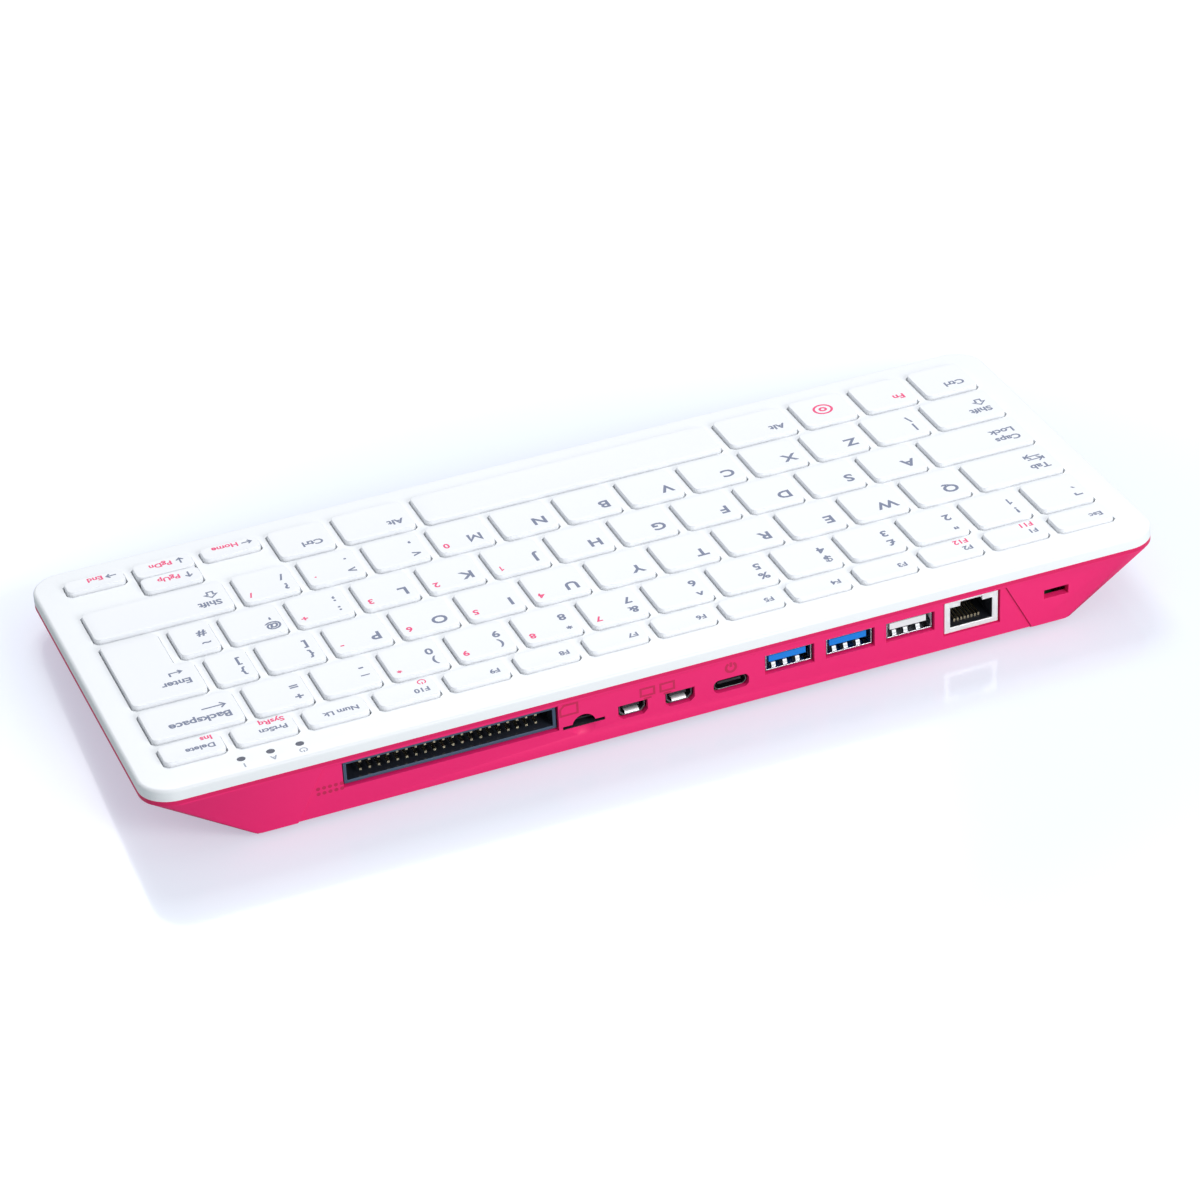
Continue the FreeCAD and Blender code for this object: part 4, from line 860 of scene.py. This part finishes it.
MARK_SIZE = 2.6
MARK_FOOT = 2.5
RING_MARK_LIFT = 0.9
pale_ink = moulded_plastic("pale_deck_ink", (0.36, 0.39, 0.47), gloss=0.6, depth=0.000004)
pipes = across_deck(cad_triangles("light_pipes")).reshape(-1, 3)
pipe_middle = (pipes.min(axis=0) + pipes.max(axis=0)) / 2
pipe_pitch = (np.ptp(pipes[:, 0]) - np.ptp(pipes[:, 1])) / 2
light_marks = [
    (text_shape("1", MARK_SIZE, "CENTER"), 0.0),
    (text_shape("A", MARK_SIZE, "CENTER"), 0.0),
    (power_shape(0.95, 0.34), RING_MARK_LIFT),
]
shapes = []
for number, ((spots, faces), lift) in enumerate(light_marks):
    x = pipe_middle[0] + pipe_pitch * (1 - number)
    y = pipe_middle[1] - deck_rear + MARK_FOOT + lift
    height = np.full(len(spots), INK_LIFT)
    shapes.append((on_deck(np.column_stack([spots + (x, y), height])), faces))
add_print("light_marks", shapes, pale_ink, "case")


# Under the keys lies a steel plate with a window for each cap. It was rolled, so fine
# streaks run along it.
def make_streak_group():
    """The streaks are noise on the place x a stretch, so that they run along one axis.
    The shade, the gloss and the height all follow them."""
    group, start, end = new_group(
        "drawn_metal",
        {
            "Vector": ("Vector", None),
            "Colour": ("Color", (0.7, 0.7, 0.72, 1.0)),
            "Stretch": ("Vector", (150.0, 5000.0, 5000.0)),
            "Drift": ("Float", 0.16),
            "Gloss": ("Float", 0.3),
            "Gloss Drift": ("Float", 0.16),
        },
        SURFACE_OUTPUTS,
    )
    drawn = add_node(group, "VectorMath", operation="MULTIPLY")
    streaks = add_node(group, "TexNoise", {"Scale": 1.0, "Detail": 3.0})
    link_nodes(
        group,
        (start, "Vector", drawn, 0),
        (start, "Stretch", drawn, 1),
        (drawn, 0, streaks, "Vector"),
        (streaks, "Fac", end, "Height"),
    )
    vary_surface(group, start, end, streaks.outputs["Fac"])
    return group


streak_group = make_streak_group()
ROLLED = (150.0, 5000.0, 5000.0)


def drawn_metal(name, colour, gloss, stretch=ROLLED, depth=0.00001, metallic=1.0):
    """A bare metal with streaks along the axis that is stretched least."""
    values = {"Colour": (*colour, 1.0), "Gloss": gloss, "Stretch": stretch}
    return surface_material(name, streak_group, values, depth, {"Metallic": metallic})


plate_steel = drawn_metal("rolled_plate_steel", (0.6, 0.62, 0.66), gloss=0.38, depth=0.00002)
finish_node("key_plate", plate_steel)


# Below the plate is the contact film: clear sheets printed with silver tracks and with
# one contact under each key.
def make_track_group():
    """Tracks = where a fine wave along a diagonal is high and slow noise picks it out;
    pads = round spots about scattered points. Both run from 0 to 1."""
    group, start, end = new_group(
        "printed_tracks",
        {
            "Vector": ("Vector", None),
            "Track Scale": ("Float", 300.0),
            "Pad Scale": ("Float", 260.0),
            "Pad Size": ("Float", 0.22),
        },
        {"Tracks": "Float", "Pads": "Float"},
    )
    wave = add_node(group, "TexWave", bands_direction="DIAGONAL")
    patches = add_node(group, "TexNoise", {"Scale": 60.0})
    spots = add_node(group, "TexVoronoi", {"Randomness": 0.7})
    lines = add_node(group, "MapRange", {"From Min": 0.6, "From Max": 0.7})
    areas = add_node(group, "MapRange", {"From Min": 0.47, "From Max": 0.49})
    tracks = add_node(group, "Math", operation="MULTIPLY")
    pads = add_node(group, "Math", operation="LESS_THAN")
    link_nodes(
        group,
        (start, "Vector", wave, "Vector"),
        (start, "Vector", patches, "Vector"),
        (start, "Vector", spots, "Vector"),
        (start, "Track Scale", wave, "Scale"),
        (start, "Pad Scale", spots, "Scale"),
        (wave, "Fac", lines, "Value"),
        (patches, "Fac", areas, "Value"),
        (lines, "Result", tracks, 0),
        (areas, "Result", tracks, 1),
        (spots, "Distance", pads, 0),
        (start, "Pad Size", pads, 1),
        (tracks, 0, end, "Tracks"),
        (pads, 0, end, "Pads"),
    )
    return group


track_group = make_track_group()


def printed_sheet(name, ground, track, pad, scales, gloss, depth):
    """A sheet in a ground colour with tracks and pads printed on it. Scales holds the
    track scale and the pad scale."""
    material = bpy.data.materials.new(name)
    tree, output = make_nodes(material)
    place = add_node(tree, "TexCoord")
    values = {"Track Scale": scales[0], "Pad Scale": scales[1]}
    printing = add_node(tree, "Group", values, node_tree=track_group)
    colours = {"A": (*ground, 1.0), "B": (*track, 1.0)}
    with_tracks = add_node(tree, "Mix", colours, data_type="RGBA")
    with_pads = add_node(tree, "Mix", {"B": (*pad, 1.0)}, data_type="RGBA")
    bump = add_node(tree, "Bump", {"Distance": depth})
    sheet = add_node(tree, "BsdfPrincipled", {"Roughness": gloss})
    link_nodes(
        tree,
        (place, "Object", printing, "Vector"),
        (printing, "Tracks", with_tracks, "Factor"),
        (with_tracks, "Result", with_pads, "A"),
        (printing, "Pads", with_pads, "Factor"),
        (with_pads, "Result", sheet, "Base Color"),
        (printing, "Tracks", bump, "Height"),
        (bump, "Normal", sheet, "Normal"),
        (sheet, 0, output, "Surface"),
    )
    return material


contact_film = printed_sheet(
    "printed_contact_film",
    ground=(0.62, 0.66, 0.68),
    track=(0.4, 0.42, 0.44),
    pad=(0.06, 0.06, 0.07),
    scales=(150.0, 110.0),
    gloss=0.25,
    depth=0.00002,
)
finish_node("contact_membrane", contact_film)


# A silicone dome under each key pushes it back up. In the real keyboard its thin skirt
# folds when the key goes down; here the domes ride with the case and keep their shape.
DOME_AROUND = 16
# Each solid is a box: twelve triangles of three corners.
BOX_CORNERS = 36


def dome_skin(middle, radius, low, high):
    """A dome as rings, each (share of the radius, share of the height): a flat foot, a
    bulging skirt, a button with a hollow in its top, and the inside of the skirt."""
    rings = [(0.1, 0.9), (0.3, 0.9), (0.36, 1.0), (0.5, 1.0), (0.56, 0.88), (0.66, 0.55)]
    rings += [(0.78, 0.22), (0.84, 0.08), (1.0, 0.07), (1.0, 0.0), (0.76, 0.0)]
    rings += [(0.68, 0.2), (0.56, 0.5), (0.44, 0.72), (0.2, 0.72)]
    share, height = np.array(rings).T
    angle = np.linspace(0.0, 2 * math.pi, DOME_AROUND, endpoint=False)[None]
    x = middle[0] + radius * share[:, None] * np.cos(angle)
    y = middle[1] + radius * share[:, None] * np.sin(angle)
    z = np.broadcast_to(low + (high - low) * height[:, None], x.shape)
    return np.stack([x, y, z], axis=-1)


silicone = moulded_plastic("dome_silicone", (0.72, 0.74, 0.74), gloss=0.42, grain=4000.0)
boxes = across_deck(cad_triangles("rubber_domes")).reshape(-1, BOX_CORNERS, 3)
boxes[:, :, 1] -= deck_rear
boxes[:, :, 2] -= deck_top
skins = []
for low, high in zip(boxes.min(axis=1), boxes.max(axis=1)):
    radius = (high - low)[:2].min() / 2
    skins.append(on_deck(dome_skin((low + high)[:2] / 2, radius, low[2], high[2])))
add_skins("silicone_domes", skins, silicone, "case", "rubber_domes")


# The film's flat tail plugs into a slim socket on the board; thin conductors run along
# it.
ribbon_print = bpy.data.materials.new("ribbon_print")
tree, output = make_nodes(ribbon_print)
place = add_node(tree, "TexCoord")
conductors = add_node(tree, "TexWave", {"Scale": 314.0})
stripes = add_node(tree, "MapRange", {"From Min": 0.45, "From Max": 0.55})
colours = {"A": (0.72, 0.76, 0.8, 1.0), "B": (0.34, 0.26, 0.22, 1.0)}
shade = add_node(tree, "Mix", colours, data_type="RGBA")
bump = add_node(tree, "Bump", {"Distance": 0.00003})
ribbon = add_node(tree, "BsdfPrincipled", {"Roughness": 0.3})
link_nodes(
    tree,
    (place, "Object", conductors, "Vector"),
    (conductors, "Fac", stripes, "Value"),
    (stripes, "Result", shade, "Factor"),
    (shade, "Result", ribbon, "Base Color"),
    (stripes, "Result", bump, "Height"),
    (bump, "Normal", ribbon, "Normal"),
    (ribbon, 0, output, "Surface"),
)
finish_node("keyboard_ribbon", ribbon_print)

socket_plastic = moulded_plastic(
    "black_socket_plastic", (0.02, 0.026, 0.038), gloss=0.34, grain=6000.0
)
finish_node("ribbon_socket", socket_plastic)


# The board is green laminate with tracks and pads. Black chips are soldered to it, and
# a grey pad carries the processor's heat to an aluminium plate.
laminate = printed_sheet(
    "green_board_laminate",
    ground=(0.015, 0.14, 0.05),
    track=(0.03, 0.24, 0.09),
    pad=(0.6, 0.5, 0.24),
    scales=(420.0, 300.0),
    gloss=0.32,
    depth=0.00003,
)
finish_node("main_board", laminate)
chip_epoxy = moulded_plastic("chip_epoxy", (0.022, 0.023, 0.026), gloss=0.5, grain=12000.0)
chip_lid = drawn_metal("processor_lid_metal", (0.55, 0.56, 0.58), gloss=0.34)
finish_node("processor", chip_lid)
finish_node("memory_chip", chip_epoxy)
finish_node("board_chips", chip_epoxy)
pad_filler = moulded_plastic(
    "thermal_pad_filler", (0.36, 0.38, 0.42), gloss=0.8, grain=2500.0, depth=0.00006
)
finish_node("thermal_pad", pad_filler)
spreader_metal = drawn_metal(
    "spreader_aluminium", (0.78, 0.79, 0.8), gloss=0.34, stretch=(120.0, 3500.0, 3500.0)
)
rounded_copy("heat_spreader", 0.2, spreader_metal)


# Three pan-head screws go from the spreader through the board into the tub. Their bump
# follows the thread, half a millimetre a turn.
screw_metal = bpy.data.materials.new("threaded_screw_steel")
tree, output = make_nodes(screw_metal)
place = add_node(tree, "TexCoord")
thread = add_node(tree, "TexWave", {"Scale": 628.0}, bands_direction="Z")
smear = add_node(tree, "TexNoise", {"Scale": 2200.0})
colours = {"A": (0.5, 0.51, 0.53, 1.0), "B": (0.68, 0.69, 0.7, 1.0)}
shade = add_node(tree, "Mix", colours, data_type="RGBA")
bump = add_node(tree, "Bump", {"Distance": 0.00012})
steel = add_node(tree, "BsdfPrincipled", {"Metallic": 1.0, "Roughness": 0.3})
link_nodes(
    tree,
    (place, "Object", thread, "Vector"),
    (place, "Object", smear, "Vector"),
    (smear, "Fac", shade, "Factor"),
    (shade, "Result", steel, "Base Color"),
    (thread, "Fac", bump, "Height"),
    (bump, "Normal", steel, "Normal"),
    (steel, 0, output, "Surface"),
)
finish_node("board_screws", screw_metal)


# The pin header stands in a black shroud: two rows of square gilt pins. The shroud's
# front rim is painted blue-grey, a painted highlight where light catches its edge.
def box_mm(node):
    """The low and the high corner of a node's box, in mm."""
    return [np.array(corner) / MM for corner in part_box(node)]


ALONG_Y = (0.0, 1.0, 0.0)
# Painted highlight: the front of the shroud turns blue-grey.
RIM_HIGHLIGHT_GREY = (0.05, 0.09, 0.15)
HIGHLIGHT_START = 0.3
HIGHLIGHT_FULL = 0.15
shroud_plastic = moulded_plastic("black_shroud_plastic", (0.015, 0.018, 0.026), gloss=0.34)
shroud_face = box_mm("header_shroud")[1][1]
add_band(shroud_plastic, ALONG_Y, shroud_face - HIGHLIGHT_START, shroud_face - HIGHLIGHT_FULL, RIM_HIGHLIGHT_GREY)
rounded_copy("header_shroud", 0.12, shroud_plastic)
gilt = drawn_metal(
    "gilt_contact_metal", (0.62, 0.54, 0.38), gloss=0.3, stretch=(5000.0, 200.0, 5000.0)
)
finish_node("header_pins", gilt)


# The card socket is steel, but is given black plastic as painted shade, and a thin
# black sheet of painted shade reaches from it to the panel through the slot.
SLOT_WIDTH = 11.5
SLOT_FLOOR = 8.72
SLOT_SHADE_THICKNESS = 0.16
tongue_black_and_slot_shade = moulded_plastic("black_tongue_plastic_and_slot_shade", (0.016, 0.018, 0.024), gloss=0.35)
# Painted shade: the card socket takes the black plastic in place of its steel.
finish_node("card_socket", tongue_black_and_slot_shade)


def bent_strip(middle, width, along, up, steel):
    """A strip of sheet as rings across it. Its path is the points (along, up), and each
    ring is a rectangle of the given width and thickness about its place on the path."""
    half = width / 2
    corners = [(-half, 0.0), (half, 0.0), (half, steel), (-half, steel)]
    across, above = np.array(corners).T
    x = np.broadcast_to(middle - across, (len(along), 4))
    y = np.broadcast_to(np.asarray(along)[:, None], x.shape)
    return np.stack([x, y, np.asarray(up)[:, None] + above], axis=-1)


card_low, card_high = box_mm("card_socket")
panel_y = box_mm("port_panel")[1][1]
# The sheet in the slot is black as painted shade.
card_slot_shade = bent_strip(
    (card_low[0] + card_high[0]) / 2,
    SLOT_WIDTH,
    [panel_y - 0.08, panel_y - 0.35, card_high[1] - 0.5],
    [SLOT_FLOOR, SLOT_FLOOR, SLOT_FLOOR],
    SLOT_SHADE_THICKNESS,
)
add_skins("card_slot_shade_sheet", [card_slot_shade * MM], tongue_black_and_slot_shade, "case")


# The two small video sockets and the power socket are folded from plated steel round a
# black tongue; their steel is darkened as painted shade in the deep mouths. A bright
# sprung lip lies on the floor of each video socket.
FOLDED = (4000.0, 150.0, 4000.0)
SPRUNG = (3000.0, 200.0, 3000.0)
# Painted shade: a darkened copy of the socket steel.
shaded_socket_steel = drawn_metal("shade_painted_socket_steel", (0.16, 0.165, 0.18), gloss=0.36, stretch=FOLDED)
rounded_copy("video_shells", 0.12, shaded_socket_steel)
rounded_copy("power_shell", 0.12, shaded_socket_steel)
finish_node("video_tongues", tongue_black_and_slot_shade)
finish_node("power_tongue", tongue_black_and_slot_shade)

VIDEO_WIDTH = 7.4
VIDEO_FLOOR = 0.36
LIP_WIDTH = 4.0
LIP_LENGTH = 3.0
LIP_RISE = 0.55
LIP_THICKNESS = 0.15
pale_plating = drawn_metal(
    "pale_plated_springs", (0.94, 0.95, 0.96), gloss=0.42, stretch=SPRUNG, metallic=0.5
)
low, high = box_mm("video_shells")
t = np.linspace(0.0, 1.0, 9)
lip_y = high[1] - 0.02 - LIP_LENGTH * t
lip_z = low[2] + VIDEO_FLOOR + LIP_RISE * np.sin(math.pi * t**0.6)
skins = []
for middle in (low[0] + VIDEO_WIDTH / 2, high[0] - VIDEO_WIDTH / 2):
    skins.append(bent_strip(middle, LIP_WIDTH, lip_y, lip_z, LIP_THICKNESS) * MM)
add_skins("video_socket_lips", skins, pale_plating, "case")


# Two fast USB sockets with blue tongues share a shell, and the slow one beside them has
# a white tongue; each tongue is painted black towards its root as shade deep in the
# socket. Sprung strips cut from the shell grip the plug.
bright_steel = drawn_metal("bright_socket_steel", (0.46, 0.47, 0.5), gloss=0.24, stretch=FOLDED)
rounded_copy("fast_ports_shell", 0.12, bright_steel)
rounded_copy("slow_port_shell", 0.12, bright_steel)
# Painted shade: the tongues turn black towards their roots.
ROOT_SHADE_BLACK = (0.01, 0.012, 0.018)
BLACK_LENGTH = 2.5
FADE_LENGTH = 6.0
blue_tongue = moulded_plastic("blue_tongue_plastic", (0.0, 0.22, 0.78), gloss=0.4)
white_tongue = moulded_plastic("white_tongue_plastic", (0.85, 0.87, 0.88), gloss=0.4)
for node, tongue in (("fast_ports_tongue", blue_tongue), ("slow_port_tongue", white_tongue)):
    root = box_mm(node)[0][1]
    add_band(tongue, ALONG_Y, root + FADE_LENGTH, root + BLACK_LENGTH, ROOT_SHADE_BLACK)
    finish_node(node, tongue)

USB_WIDTH = 13.3
USB_PITCH = 17.5
USB_FLOOR = 4.9
SPRING_OFFSETS = (4.0, 0.7, -2.9)
SPRING_WIDTH = 1.15
SPRING_LENGTH = 6.0
SPRING_RISE = 1.3
SPRING_SETBACK = 0.6
SPRING_THICKNESS = 0.2
satin_steel = drawn_metal("satin_spring_steel", (0.74, 0.75, 0.77), gloss=0.42, stretch=SPRUNG)
t = np.linspace(0.0, 1.0, 15)
skins = []
for node in ("fast_ports_shell", "slow_port_shell"):
    low, high = box_mm(node)
    spring_y = high[1] - SPRING_SETBACK - SPRING_LENGTH * t
    spring_z = high[2] - USB_FLOOR + SPRING_RISE * np.sin(math.pi * t**0.45)
    for middle in np.arange(low[0] + USB_WIDTH / 2, high[0], USB_PITCH):
        for x in middle + np.array(SPRING_OFFSETS):
            strip = bent_strip(x, SPRING_WIDTH, spring_y, spring_z, SPRING_THICKNESS)
            skins.append(strip * MM)
add_skins("usb_springs", skins, satin_steel, "case")


# The network jack has a satin nickel shell round a black insert with gilt contacts.
satin_nickel = drawn_metal(
    "satin_nickel", (0.95, 0.96, 0.97), gloss=0.36, stretch=SPRUNG, metallic=0.6
)
rounded_copy("network_shell", 0.15, satin_nickel)
finish_node("network_insert", tongue_black_and_slot_shade)
finish_node("network_contacts", gilt)


# Beside the sockets, plain signs are printed on the panel in a deeper pink: pins, a
# card, two screens and power.
SIGN_LINE = 0.6
panel_ink = moulded_plastic("deep_pink_panel_ink", (0.58, 0.01, 0.085), gloss=0.5)
dot = ring_shape(0.28, 0.54, steps=8)
steps = [(1.6 * column, 0.8 * row) for column in (-2, -1, 0, 1, 2) for row in (-1, 1)]
pins_sign = join_shapes([(dot[0] + step, dot[1]) for step in steps])
card_path = [(-2.4, -1.6), (2.4, -1.6), (2.4, 1.6), (-1.3, 1.6), (-2.4, 0.5)]
card_sign = stroke_shape(card_path, SIGN_LINE, True)
screen_path = [(-1.9, -0.7), (1.9, -0.7), (1.9, 1.6), (-1.9, 1.6)]
screen = stroke_shape(screen_path, SIGN_LINE, True)
screen_foot = stroke_shape([(-1.1, -1.6), (1.1, -1.6)], SIGN_LINE)
screen_sign = join_shapes([screen, screen_foot])
# Each sign with the place of its middle, in mm along the panel and above the table.
panel_signs = [
    (pins_sign, 94.9, 9.9),
    (card_sign, 29.0, 14.9),
    (screen_sign, 7.0, 13.6),
    (screen_sign, 1.4, 13.6),
    (power_shape(1.4, 0.75), -16.7, 14.7),
]
shapes = []
for (spots, faces), x, z in panel_signs:
    y = np.full(len(spots), panel_y + INK_LIFT)
    shapes.append((np.column_stack([x - spots[:, 0], y, z + spots[:, 1]]) * MM, faces))
add_print("panel_signs", shapes, panel_ink, "case")
